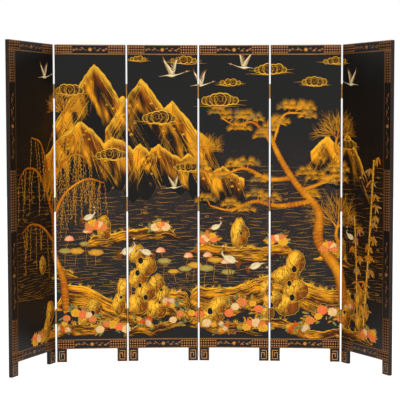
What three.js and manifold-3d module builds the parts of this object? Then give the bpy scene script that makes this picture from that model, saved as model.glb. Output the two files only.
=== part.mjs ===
// A six-panel folding lacquer screen, in millimetres, +Z up, its painted front towards -Y.
//
// Six slab boards stand in a row, each cut out at the foot so that it stands on two feet. At each of
// the five fold lines three two-way brass hinges join two boards. A two-way hinge has a pin at the
// front faces and a pin at the back faces, so the boards fold flat against each other either way:
//
//      board A | front leaf |  web  | back leaf | board B        (seen from above, front below)
//
// The front leaf is screwed to the edge of the left board and turns on the front pin. The back leaf
// is screwed to the edge of the right board and turns on the back pin. The web holds both pins.
import * as THREE from "three";
import { mergeVertices } from "three/addons/utils/BufferGeometryUtils.js";
import Module from "manifold-3d";

// ---- Boards ----
const BOARD_WIDTH = 403;
const BOARD_HEIGHT = 1829;
const BOARD_THICKNESS = 22;
const BOARD_CORNER_RADIUS = 3;
const EDGE_ROUNDING = 1.2; // how far the lacquered arrises are rounded back
const FOOT_WIDTH = 56;
const FOOT_HEIGHT = 76;
const FOOT_ARCH_RADIUS = 5; // where a foot runs into the apron between the feet

// ---- How the screen stands: forward fold at each of the five lines, in degrees, left to right ----
const FORWARD_FOLDS = [60, 2, 4, 2, 52];
const MIDDLE_LINE = 3; // this line and its two boards face straight ahead

// ---- Hinges ----
const BOARD_GAP = 8.5; // between the edges of two boards that stand in line
const HINGE_HEIGHT = 82;
const HINGE_INSET = 265; // from the top or bottom of the board to the middle of the hinge
const PIN_STANDOFF = 1.5; // how far a pin's centre line stands out from the boards' faces
const LEAF_THICKNESS = 1.8;
const LEAF_SEAT_GAP = 0.35; // between a leaf and the edge that it is screwed to
const LEAF_TO_WEB_CLEARANCE = 1.1;
const LEAF_INSET = 3; // from the far edge of a leaf to the board's face
const LEAF_CORNER_CUT = 2;
const KNUCKLE_CLEARANCE = 0.4; // between a knuckle and whatever turns past it
const PIN_RADIUS = 1.75;
const PIN_CLEARANCE = 0.3;
const PIN_TIP_HEIGHT = 1.4; // domed end of a pin, outside its last knuckle
const SCREW_HEAD_RADIUS = 3.4;
const SCREW_SHANK_RADIUS = 1.9;
const SCREW_SPACING = 27; // along the leaf, from screw to screw
const SCREW_STAGGER = 3; // of the middle screw to one side, and the outer ones to the other

// ---- Facets ----
const KNUCKLE_SIDES = 8;
const BORE_SIDES = 8;
const SCREW_SIDES = 8;
const CORNER_STEPS = 2;

// ---- Sizes that follow ----
const PIN_OFFSET = BOARD_THICKNESS / 2 + PIN_STANDOFF; // pins to the middle of the thickness
const PITCH = BOARD_WIDTH + BOARD_GAP; // between the middles of two boards in line
const KNUCKLE_RADIUS = BOARD_GAP / 2 - LEAF_SEAT_GAP;
const KNUCKLE_LENGTH = (HINGE_HEIGHT - 2 * KNUCKLE_CLEARANCE) / 3;
const WEB_THICKNESS = 2 * (KNUCKLE_RADIUS - LEAF_THICKNESS - LEAF_TO_WEB_CLEARANCE);
const KNUCKLE_NOTCH = KNUCKLE_RADIUS + KNUCKLE_CLEARANCE; // kept clear all round a turning knuckle

const HINGES = {
  top: BOARD_HEIGHT - HINGE_INSET,
  middle: BOARD_HEIGHT / 2,
  bottom: HINGE_INSET,
};

const lacquer = new THREE.MeshStandardMaterial({ color: 0x17161a, roughness: 0.28, metalness: 0 });
const brass = new THREE.MeshStandardMaterial({ color: 0xb48a4a, roughness: 0.38, metalness: 1 });

// ---- Solids ----
const wasm = await Module();
wasm.setup();

/** A closed three.js geometry as a solid that can be joined and cut. */
function solidOf(geometry) {
  const plain = geometry.clone();
  plain.deleteAttribute("normal");
  plain.deleteAttribute("uv");
  const merged = mergeVertices(plain, 1e-4);
  return new wasm.Manifold(new wasm.Mesh({
    numProp: 3,
    vertProperties: new Float32Array(merged.attributes.position.array),
    triVerts: new Uint32Array(merged.index.array),
  }));
}

/** The geometry of a joined or cut solid. */
function geometryOf(solid) {
  const mesh = solid.getMesh();
  const geometry = new THREE.BufferGeometry();
  geometry.setAttribute("position", new THREE.BufferAttribute(mesh.vertProperties, 3));
  geometry.setIndex(new THREE.BufferAttribute(mesh.triVerts, 1));
  geometry.computeVertexNormals();
  return geometry;
}

/** An outline in a board's edge plane (Y across the edge, Z up), given thickness along X. */
function plateAcrossEdge(outline, fromX, toX) {
  const plate = new THREE.ExtrudeGeometry(outline, { depth: toX - fromX, bevelEnabled: false });
  // The outline's own axes are (x, y, depth); they become (Y, Z, X), which keeps faces outward.
  const turn = new THREE.Matrix4().makeBasis(
    new THREE.Vector3(0, 1, 0), new THREE.Vector3(0, 0, 1), new THREE.Vector3(1, 0, 0));
  return plate.applyMatrix4(turn).translate(fromX, 0, 0);
}

/** An upright round bar of the given number of sides, centred on (x, y, z). */
function uprightBar(radius, height, sides, x, y, z) {
  return new THREE.CylinderGeometry(radius, radius, height, sides)
    .rotateX(Math.PI / 2)
    .translate(x, y, z);
}

/** The radius at the corners of a many-sided hole whose flats lie at the given radius. */
const cornerRadius = (flatRadius, sides) => flatRadius / Math.cos(Math.PI / sides);

// ---- Board: a slab with two feet, drawn from the front, its foot line at Z = 0 ----
function boardGeometry() {
  const half = BOARD_WIDTH / 2 - EDGE_ROUNDING;
  const footInside = BOARD_WIDTH / 2 - FOOT_WIDTH + EDGE_ROUNDING;
  const sole = EDGE_ROUNDING;
  const top = BOARD_HEIGHT - EDGE_ROUNDING;
  const apron = FOOT_HEIGHT + EDGE_ROUNDING;
  const corner = BOARD_CORNER_RADIUS;
  const arch = FOOT_ARCH_RADIUS;

  const outline = new THREE.Shape();
  outline.moveTo(-half, sole);
  outline.lineTo(-footInside, sole);
  outline.lineTo(-footInside, apron - arch);
  outline.absarc(-footInside + arch, apron - arch, arch, Math.PI, Math.PI / 2, true);
  outline.lineTo(footInside - arch, apron);
  outline.absarc(footInside - arch, apron - arch, arch, Math.PI / 2, 0, true);
  outline.lineTo(footInside, sole);
  outline.lineTo(half, sole);
  outline.lineTo(half, top - corner);
  outline.absarc(half - corner, top - corner, corner, 0, Math.PI / 2);
  outline.lineTo(-half + corner, top);
  outline.absarc(-half + corner, top - corner, corner, Math.PI / 2, Math.PI);
  outline.closePath();

  return new THREE.ExtrudeGeometry(outline, {
    depth: BOARD_THICKNESS - 2 * EDGE_ROUNDING,
    curveSegments: CORNER_STEPS,
    bevelThickness: EDGE_ROUNDING,
    bevelSize: EDGE_ROUNDING,
    bevelSegments: 2,
  })
    .translate(0, 0, EDGE_ROUNDING - BOARD_THICKNESS / 2)
    .rotateX(Math.PI / 2);
}

// ---- Hinge, about the middle of the gap, the boards' mid thickness and the hinge's mid height ----

/** The front leaf: a plate along the left board's edge, rolled round the front pin at mid height. */
function leafGeometry() {
  const pinY = -PIN_OFFSET;
  const notchY = pinY + KNUCKLE_NOTCH;
  const farY = BOARD_THICKNESS / 2 - LEAF_INSET;
  const end = HINGE_HEIGHT / 2;
  const knuckleEnd = KNUCKLE_LENGTH / 2;

  const outline = new THREE.Shape();
  outline.moveTo(notchY, -end);
  outline.lineTo(farY - LEAF_CORNER_CUT, -end);
  outline.lineTo(farY, -end + LEAF_CORNER_CUT);
  outline.lineTo(farY, end - LEAF_CORNER_CUT);
  outline.lineTo(farY - LEAF_CORNER_CUT, end);
  outline.lineTo(notchY, end);
  outline.lineTo(notchY, knuckleEnd);
  outline.lineTo(pinY, knuckleEnd);
  outline.lineTo(pinY, -knuckleEnd);
  outline.lineTo(notchY, -knuckleEnd);
  outline.closePath();
  const edgeSide = -KNUCKLE_RADIUS;
  const openSide = edgeSide + LEAF_THICKNESS;

  let leaf = solidOf(plateAcrossEdge(outline, edgeSide, openSide))
    .add(solidOf(uprightBar(KNUCKLE_RADIUS, KNUCKLE_LENGTH, KNUCKLE_SIDES, 0, pinY, 0)))
    .subtract(solidOf(uprightBar(cornerRadius(PIN_RADIUS + PIN_CLEARANCE, BORE_SIDES),
      2 * KNUCKLE_LENGTH, BORE_SIDES, 0, pinY, 0)));
  for (const screw of screwPlaces()) {
    leaf = leaf.subtract(solidOf(screwHole(edgeSide, openSide, screw.y, screw.z)));
  }
  return geometryOf(leaf);
}

/** Where a leaf's screws go: the middle one nearer the front face, the outer two nearer the back. */
function screwPlaces() {
  return [-1, 0, 1].map((row) => ({
    y: row === 0 ? -SCREW_STAGGER : SCREW_STAGGER,
    z: row * SCREW_SPACING,
  }));
}

/** A countersunk hole through a leaf, wide on the open side and narrow on the board's side. */
function screwHole(edgeSide, openSide, y, z) {
  const slope = (SCREW_HEAD_RADIUS - SCREW_SHANK_RADIUS) / (openSide - edgeSide);
  const overrun = (openSide - edgeSide) / 4; // the cutter runs past both faces on the same slope
  const length = openSide - edgeSide + 2 * overrun;
  return new THREE.CylinderGeometry(SCREW_HEAD_RADIUS + slope * overrun,
    SCREW_SHANK_RADIUS - slope * overrun, length, SCREW_SIDES)
    .rotateZ(-Math.PI / 2)
    .translate((edgeSide + openSide) / 2, y, z);
}

/** The web: a plate in the middle of the gap with end knuckles round both pins, pins pressed in. */
function webGeometry() {
  const end = HINGE_HEIGHT / 2;
  const knuckleEnd = KNUCKLE_LENGTH / 2 + KNUCKLE_CLEARANCE;
  const notchY = PIN_OFFSET - KNUCKLE_NOTCH;

  const outline = new THREE.Shape();
  outline.moveTo(-PIN_OFFSET, -end);
  outline.lineTo(PIN_OFFSET, -end);
  outline.lineTo(PIN_OFFSET, -knuckleEnd);
  outline.lineTo(notchY, -knuckleEnd);
  outline.lineTo(notchY, knuckleEnd);
  outline.lineTo(PIN_OFFSET, knuckleEnd);
  outline.lineTo(PIN_OFFSET, end);
  outline.lineTo(-PIN_OFFSET, end);
  outline.lineTo(-PIN_OFFSET, knuckleEnd);
  outline.lineTo(-notchY, knuckleEnd);
  outline.lineTo(-notchY, -knuckleEnd);
  outline.lineTo(-PIN_OFFSET, -knuckleEnd);
  outline.closePath();

  const barrel = pinWithKnuckles();
  return geometryOf(solidOf(plateAcrossEdge(outline, -WEB_THICKNESS / 2, WEB_THICKNESS / 2))
    .add(solidOf(barrel.clone().translate(0, -PIN_OFFSET, 0)))
    .add(solidOf(barrel.clone().translate(0, PIN_OFFSET, 0))));
}

/** A pin with the web's two knuckles on it, turned as one profile: domed tip, knuckle, pin. */
function pinWithKnuckles() {
  const end = HINGE_HEIGHT / 2;
  const knuckleEnd = KNUCKLE_LENGTH / 2 + KNUCKLE_CLEARANCE;
  const upperHalf = [
    [PIN_RADIUS, knuckleEnd],
    [KNUCKLE_RADIUS, knuckleEnd],
    [KNUCKLE_RADIUS, end],
    [PIN_RADIUS, end],
    [PIN_RADIUS * Math.SQRT1_2, end + PIN_TIP_HEIGHT * Math.SQRT1_2],
    [0, end + PIN_TIP_HEIGHT],
  ];
  const lowerHalf = upperHalf.map(([radius, z]) => [radius, -z]).reverse();
  const profile = [...lowerHalf, ...upperHalf].map(([radius, z]) => new THREE.Vector2(radius, z));
  return new THREE.LatheGeometry(profile, KNUCKLE_SIDES).rotateX(Math.PI / 2);
}

// ---- The screen, built outwards from the board left of the middle line ----
const board = boardGeometry();
const leaf = leafGeometry();
const web = webGeometry();

/** A mesh in a group, under its name. */
function add(group, name, geometry, material) {
  const mesh = new THREE.Mesh(geometry, material);
  mesh.name = name;
  group.add(mesh);
  return mesh;
}

/** A group inside another, at a place in plan and turned counter-clockwise from above. */
function placed(parent, x, y, degrees = 0) {
  const group = new THREE.Group();
  group.position.set(x, y, 0);
  group.rotation.z = THREE.MathUtils.degToRad(degrees);
  parent.add(group);
  return group;
}

/** Puts a board, and the leaves on its edges, in the group of that board. */
function furnishBoard(group, number) {
  add(group, `panel_${number}_board`, board, lacquer);
  for (const [place, height] of Object.entries(HINGES)) {
    if (number > 1) {
      const backLeaf = add(group, `hinge_${number - 1}${number}_${place}_back_leaf`, leaf, brass);
      backLeaf.position.set(-PITCH / 2, 0, height);
      backLeaf.rotation.z = Math.PI;
    }
    if (number <= FORWARD_FOLDS.length) {
      const frontLeaf = add(group, `hinge_${number}${number + 1}_${place}_front_leaf`, leaf, brass);
      frontLeaf.position.set(PITCH / 2, 0, height);
    }
  }
}

/** Puts the three webs of a fold line in the group of that line. */
function furnishLine(group, line) {
  for (const [place, height] of Object.entries(HINGES)) {
    add(group, `hinge_${line}${line + 1}_${place}_web`, web, brass).position.z = height;
  }
}

/** Adds the boards right of a board: over each line the webs turn on the front pins. */
function addToTheRight(boardGroup, line) {
  if (line > FORWARD_FOLDS.length) return;
  const frontPin = placed(boardGroup, PITCH / 2, -PIN_OFFSET, -FORWARD_FOLDS[line - 1]);
  const lineGroup = placed(frontPin, 0, PIN_OFFSET);
  furnishLine(lineGroup, line);
  const next = placed(lineGroup, PITCH / 2, 0);
  furnishBoard(next, line + 1);
  addToTheRight(next, line + 1);
}

/** Adds the boards left of a board: over each line the next board turns on the front pins. */
function addToTheLeft(boardGroup, line) {
  if (line < 1) return;
  const lineGroup = placed(boardGroup, -PITCH / 2, 0);
  furnishLine(lineGroup, line);
  const frontPin = placed(lineGroup, 0, -PIN_OFFSET, FORWARD_FOLDS[line - 1]);
  const next = placed(frontPin, -PITCH / 2, PIN_OFFSET);
  furnishBoard(next, line);
  addToTheLeft(next, line - 1);
}

const screen = new THREE.Group();
const standing = placed(screen, 0, 0, FORWARD_FOLDS[MIDDLE_LINE - 1] / 2);
furnishBoard(standing, MIDDLE_LINE);
addToTheRight(standing, MIDDLE_LINE);
addToTheLeft(standing, MIDDLE_LINE - 1);

// The origin is on the floor, under the middle of the standing screen's box.
const box = new THREE.Box3().setFromObject(screen, true);
const middle = box.getCenter(new THREE.Vector3());
screen.children.forEach((child) => child.position.set(-middle.x, -middle.y, -box.min.z));

export default screen;
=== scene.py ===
"""A six-panel folding screen in black lacquer, with a gilt landscape, bands of copper ornament and aged brass hinges.

The boards, leaves and webs come from the CAD frame and get their finishes here. Everything that is painted on the
boards is a thin relief of its own, worked out in picture millimetres: x runs along the six fronts as if the screen
stood flat, z is height over the floor and w is the lift off the board's face. Each relief is then laid on its board and
rides on it.
"""

import functools
import math

import bpy
import numpy as np
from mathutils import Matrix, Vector


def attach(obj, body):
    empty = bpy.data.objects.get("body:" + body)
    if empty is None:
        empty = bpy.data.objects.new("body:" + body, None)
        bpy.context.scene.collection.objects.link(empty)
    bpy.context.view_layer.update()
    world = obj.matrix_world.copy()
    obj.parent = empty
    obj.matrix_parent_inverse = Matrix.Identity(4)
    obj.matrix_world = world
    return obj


bl_info = {
    "name": "Black lacquer folding screen",
    "version": (1, 0, 0),
    "blender": (4, 5, 0),
    "location": "3D View > Sidebar > Lacquer Screen",
    "description": "Dresses the six boards and their hinges with lacquer, gilt painting, copper bands and brass",
    "category": "Add Mesh",
}

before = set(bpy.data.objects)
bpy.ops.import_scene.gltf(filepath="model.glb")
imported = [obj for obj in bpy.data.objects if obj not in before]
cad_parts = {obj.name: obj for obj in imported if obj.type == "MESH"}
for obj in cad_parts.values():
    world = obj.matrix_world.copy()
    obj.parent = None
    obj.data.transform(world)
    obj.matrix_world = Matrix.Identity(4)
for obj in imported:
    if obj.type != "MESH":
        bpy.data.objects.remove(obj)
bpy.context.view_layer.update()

MM = 0.001  # metres; the sizes below are in millimetres unless they say otherwise
PANELS = 6
BOARD_HEIGHT = 1829.0
PITCH = 411.5  # from one board's middle to the next, laid flat
SINK = 0.14  # how deep every paint shape reaches into what it lies on
OVERLAP = 0.2  # how far a shape must reach into a board's window to be laid on it
SLIVER = 2e-4  # twice the area under which a face is dropped
COPPER_MARGIN = 1.3  # bare rim of a board round its copper
COPPER_LIFT = 0.28  # height of the copper outlines
OUTLINE_INSET = 2.9  # from a board's edge to the middle of its copper outline
BAND_INSET = 2.6  # from the painting's edge to the middle of a band's last line, and from a board's sides to its bands
FRET_CELL = 14.4  # width and height of a cell of the fretwork, before it is fitted to its block
BEAD_STEP = 11.4  # from one bead of a strip to the next
FOOT_INSET = 13.5  # from a foot's sides and end to the middle of its spiral's line
WING_CUTS = (315, 791, 1130, 1598)  # heights where fretwork and sprays change in the upright bands
WATER_ROWS = (400, 1130)  # lowest and highest row of the water
DUST_METRES = (0.40, 0.62, 1.02, 1.34)  # heights where the gold dust begins, is full, thins out and ends
SCREW_STEP = 27.0  # from one screw of a leaf to the next
SHANK = 1.85  # radius of a screw's shank
LEAF_SIDE = 2.1  # from the middle of the gap to a leaf's open side
EDGE_MIDDLE = -11  # depth of the middle of a board's edge under its front
FLOOR_HALF = 14  # metres from the middle of the floor to its edge
CLIP_END = 60  # metres the camera sees
HINGES = [f"hinge_{a}{a + 1}_{place}" for a in range(1, PANELS) for place in ("top", "middle", "bottom")]

# A section to carry along a line: offset across in half-widths, lift in ridge heights (below 0 in sinks), and share of
# the crest's colour.
FINE = np.array([(-1, -1, 0), (0, 1, 1), (1, -1, 0)], float)
BROAD = np.array([(-1, -1, 0), (-0.86, 0.55, 0.25), (0, 1, 1), (0.86, 0.55, 0.25), (1, -1, 0)], float)
ROUND = np.array(
    [(-1, -1, 0), (-0.93, 0.4, 0.1), (-0.5, 0.85, 0.75), (0, 1, 1), (0.5, 0.85, 0.6), (0.93, 0.4, 0), (1, -1, 0)]
)
FLAT = np.array([(-1, -1, 0.3), (-1, 1, 1), (1, 1, 1), (1, -1, 0.3)], float)
# Rings of a patch, from its middle outwards: share of the outline, lift, share of core colour.
LEAF_RINGS = ((0.72, 0.8, 0.7), (1.0, -1, 0.0))
PETAL_RINGS = ((0.6, 0.95, 0.75), (0.92, 0.75, 0.3), (1.0, -1, 0.0))
STONE_RINGS = ((0.3, 1.0, 1.0), (0.6, 0.9, 0.8), (0.85, 0.7, 0.6), (0.96, 0.45, 0.15), (1.0, -1, 0.0))
HOLE_RINGS = ((0.82, 1, 1.0), (0.9, 1, 0.0), (1.0, -1, 0.0))
CLOUD_RINGS = ((0.8, 0.95, 1.0), (0.86, 0.95, 0.0), (1.0, -1, 0.3))


# ---------------------------------------------------------------- settings


def swatch(name, text, rgb):
    return bpy.props.FloatVectorProperty(
        name=name, description=text, subtype="COLOR_GAMMA", size=3, min=0, max=1, default=[c / 255 for c in rgb]
    )


def number(name, text, default, **kind):
    return bpy.props.FloatProperty(name=name, description=text, default=default, **kind)


def length(name, text, millimetres):
    return number(name, text, millimetres * MM, min=0, unit="LENGTH", subtype="DISTANCE")


def fraction(name, text, default):
    return number(name, text, default, min=0, max=1, subtype="FACTOR")


class ScreenColours(bpy.types.PropertyGroup):
    gold_light: swatch("Light gold", "Crests and rims of the gilt painting", (248, 190, 52))
    gold: swatch("Gold", "Body of the gilt painting", (226, 148, 26))
    gold_deep: swatch("Deep gold", "Shaded side of the gilt painting", (176, 92, 14))
    umber: swatch("Umber", "Drawn lines over the gold", (62, 30, 12))
    ink: swatch("Ink", "Darkest paint", (20, 15, 11))
    copper: swatch("Copper", "Lines and fretwork of the bands", (158, 98, 50))
    copper_light: swatch("Light copper", "Crests of the fretwork", (236, 172, 108))
    copper_deep: swatch("Deep copper", "Ground of the fretwork", (74, 40, 22))
    cinnabar: swatch("Cinnabar", "Red flowers", (224, 70, 26))
    coral: swatch("Coral", "Pale red flowers", (240, 138, 74))
    sage: swatch("Sage", "Leaves", (122, 142, 84))
    cream: swatch("Cream", "White birds and flowers", (236, 214, 164))
    lacquer: swatch("Lacquer", "Ground of the boards", (12, 11, 10))
    brass: swatch("Brass", "Hinges and screws", (190, 140, 72))
    floor: swatch("Floor", "Studio floor", (236, 236, 236))
    middle_copper: fraction("Copper of the middle boards", "How much of its lightness the copper keeps", 0.72)
    # Painted shade: the end boards' copper is kept darker than the middle boards' because those boards turn away from
    # the light.
    end_copper_shade: fraction("Copper of the end boards", "How much of its lightness the copper keeps", 0.42)


class ScreenSizes(bpy.types.PropertyGroup):
    band: length("Band height", "Height of the bands of ornament at the top and bottom of each board", 56)
    wing_band: length("Wing band width", "Width of the upright band on the two end boards", 58)
    foot_width: length("Foot width", "Width of each foot", 56)
    foot_height: length("Foot height", "Height of each foot", 76)
    fret_block: length("Fret block length", "Length of the fretwork at each end of a band", 97)
    edge_margin: length("Painting margin", "Bare edge beside the painting", 2.5)
    copper_line: length("Copper line", "Width of the copper outlines", 3.2)
    screw_head: length("Screw head", "Radius of the countersunk screw heads", 3.3)


class StudioSettings(bpy.types.PropertyGroup):
    camera_x: number("Camera x", "Camera position", 0.1375, unit="LENGTH")
    camera_y: number("Camera y", "Camera position", -5.7825, unit="LENGTH")
    camera_z: number("Camera z", "Camera height", 1.3704, unit="LENGTH")
    yaw: number("Yaw", "Camera turn to the left", math.radians(-0.478), subtype="ANGLE")
    pitch: number("Pitch", "Camera tilt upwards", math.radians(-3.036), subtype="ANGLE")
    lens: number("Lens", "Focal length on a 36 mm sensor", 93.17, min=1)
    shift_x: number("Shift x", "Sideways lens shift", -0.0875)
    shift_y: number("Shift y", "Upward lens shift", -0.05)
    key: number("Front light", "Watts of the soft light in front", 600, unit="POWER")
    top: number("Top light", "Strength of the wide, even light from above", 1.1, min=0)
    ambient: number("Ambient", "Strength of the world's light", 0.10, min=0)


def colours():
    return bpy.context.scene.screen_colours


def sizes():
    return bpy.context.scene.screen_sizes


def linear(rgb):
    """Linear light of display colour: c/12.92 under 0.04045, else ((c + 0.055) / 1.055) to the power 2.4."""
    c = np.asarray(rgb, float)
    return np.where(c <= 0.04045, c / 12.92, ((c + 0.055) / 1.055) ** 2.4)


@functools.cache
def paint(name, metal=0.0):
    """A colour of the palette as linear red, green and blue, with its share of metal as fourth value."""
    return np.append(linear(getattr(colours(), name)), metal)


def gold(name):
    return paint(name, 0.75)


def coppers():
    """The body and the crest colour of the copper ornament."""
    return paint("copper", 0.6), paint("copper_light", 0.6)


def mixed(a, b, t):
    """a where t is 0, b where t is 1, in a straight line between them, for colours along the last axis."""
    t = np.asarray(t, float)[..., None]
    return a * (1 - t) + b * t


# ---------------------------------------------------------------- shapes of paint


def ray(angle):
    """The point at distance 1 in the direction of each angle."""
    return np.stack([np.cos(angle), np.sin(angle)], -1)


def full_turn(count):
    """So many angles, evenly round a circle."""
    return np.linspace(0, 2 * np.pi, count, endpoint=False)


def ring_of(n, segments, radius):
    """Outlines of n round patches of the given radii."""
    return ray(full_turn(segments))[None] * np.broadcast_to(radius, (n,))[:, None, None]


def hump(s, start, span):
    """A sine's half wave, from start of it onwards by span as s goes from 0 to 1: how a brush line swells and thins."""
    return np.sin(np.pi * (start + span * s))


def directions(line):
    """Unit vectors along a line (..., m, 2) and across it to the left, from the steps between its neighbours."""
    ahead = np.gradient(line, axis=-2)
    ahead /= np.maximum(np.hypot(ahead[..., 0], ahead[..., 1]), 1e-6)[..., None]
    return ahead, np.stack([-ahead[..., 1], ahead[..., 0]], -1)


def bowed(root, turn, size):
    """Lines of the given sizes from their roots, whose heading at each of six stations is turn (n, 6)."""
    step = ray(turn) * (size[:, None] / 5 * np.ones(6))[..., None]
    return root[:, None] + np.cumsum(step, 1) - step[:, :1]


def smooth_curve(knots, steps):
    """A curve through its knots with so many steps between each two, by the cubic that has at each knot the slope of
    its neighbours. Gives its points, and the station of each, where knot k is station k."""
    knots = np.array([np.asarray(k, float) for k in knots])
    last = len(knots) - 1
    t = np.linspace(0, last, steps * last + 1)
    slope = np.gradient(knots, axis=0)
    i = np.minimum(t.astype(int), last - 1)
    f = (t - i)[:, None]
    a, b, da, db = knots[i], knots[i + 1], slope[i], slope[i + 1]
    line = a * (1 + 2 * f) * (1 - f) ** 2 + da * f * (1 - f) ** 2 + b * f * f * (3 - 2 * f) + db * f * f * (f - 1)
    return line, t


def whole_noise(x, y, seed):
    """Smooth noise from 0 to 1. Each whole-numbered point has a value taken from the fraction of a large sine of its
    coordinates, and between them the four nearest are mixed by 3tt - 2ttt."""
    x, y = np.asarray(x, float), np.asarray(y, float)
    xi, yi = np.floor(x), np.floor(y)
    tx, ty = x - xi, y - yi
    tx, ty = tx * tx * (3 - 2 * tx), ty * ty * (3 - 2 * ty)

    def at(a, b):
        s = np.sin(a * 127.1 + b * 311.7 + seed * 74.7) * 43758.5453
        return s - np.floor(s)

    low = at(xi, yi) * (1 - tx) + at(xi + 1, yi) * tx
    high = at(xi, yi + 1) * (1 - tx) + at(xi + 1, yi + 1) * tx
    return low * (1 - ty) + high * ty


def rough_noise(x, y, seed, octaves=4):
    """Sum of octaves of whole_noise, each twice as fine and half as strong as the one before, from about -1 to 1."""
    total, weight = 0.0, 0.0
    for k in range(octaves):
        total = total + whole_noise(np.asarray(x) * 2**k, np.asarray(y) * 2**k, seed + 9.1 * k) * 0.5**k
        weight += 0.5**k
    return 2 * total / weight - 1


@functools.cache
def sweep_faces(stations, corners):
    """Triangles of a closed section of so many corners carried past so many stations, with both ends capped."""
    i, j = (a.ravel() for a in np.meshgrid(np.arange(stations - 1), np.arange(corners), indexing="ij"))
    a, b = i * corners + j, (i + 1) * corners + j
    c, d = (i + 1) * corners + (j + 1) % corners, i * corners + (j + 1) % corners
    fan = np.arange(1, corners - 1)
    start = np.stack([0 * fan, fan, fan + 1], 1)
    end = start[:, ::-1] + (stations - 1) * corners
    return np.concatenate([np.stack([a, b, c], 1), np.stack([a, c, d], 1), start, end])


@functools.cache
def patch_faces(rings, segments):
    """Triangles of a closed patch: a pole, rings of so many segments outwards from it, and a pole underneath."""
    j = np.arange(segments)
    k = (j + 1) % segments
    parts = [np.stack([0 * j, 1 + j, 1 + k], 1)]
    for r in range(rings - 1):
        near, far = 1 + r * segments, 1 + (r + 1) * segments
        a, b, c, d = near + j, far + j, far + k, near + k
        parts += [np.stack([a, b, c], 1), np.stack([a, c, d], 1)]
    last = 1 + (rings - 1) * segments
    parts.append(np.stack([0 * j + 1 + rings * segments, last + k, last + j], 1))
    return np.concatenate(parts)


@functools.cache
def slab_faces(rows, columns):
    """Triangles of a closed slab: an upper grid, the same grid underneath, and walls round the rim."""
    i, j = (a.ravel() for a in np.meshgrid(np.arange(rows - 1), np.arange(columns - 1), indexing="ij"))
    a, b = i * columns + j, (i + 1) * columns + j
    c, d = b + 1, a + 1
    under = rows * columns
    top = np.concatenate([np.stack([a, b, c], 1), np.stack([a, c, d], 1)])
    rim = np.concatenate(
        [
            np.arange(rows - 1) * columns,
            (rows - 1) * columns + np.arange(columns - 1),
            (rows - 1 - np.arange(rows - 1)) * columns + columns - 1,
            columns - 1 - np.arange(columns - 1),
        ]
    )
    after = np.roll(rim, -1)
    walls = np.concatenate([np.stack([rim, rim + under, after + under], 1), np.stack([rim, after + under, after], 1)])
    return np.concatenate([top, top[:, ::-1] + under, walls])


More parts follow.
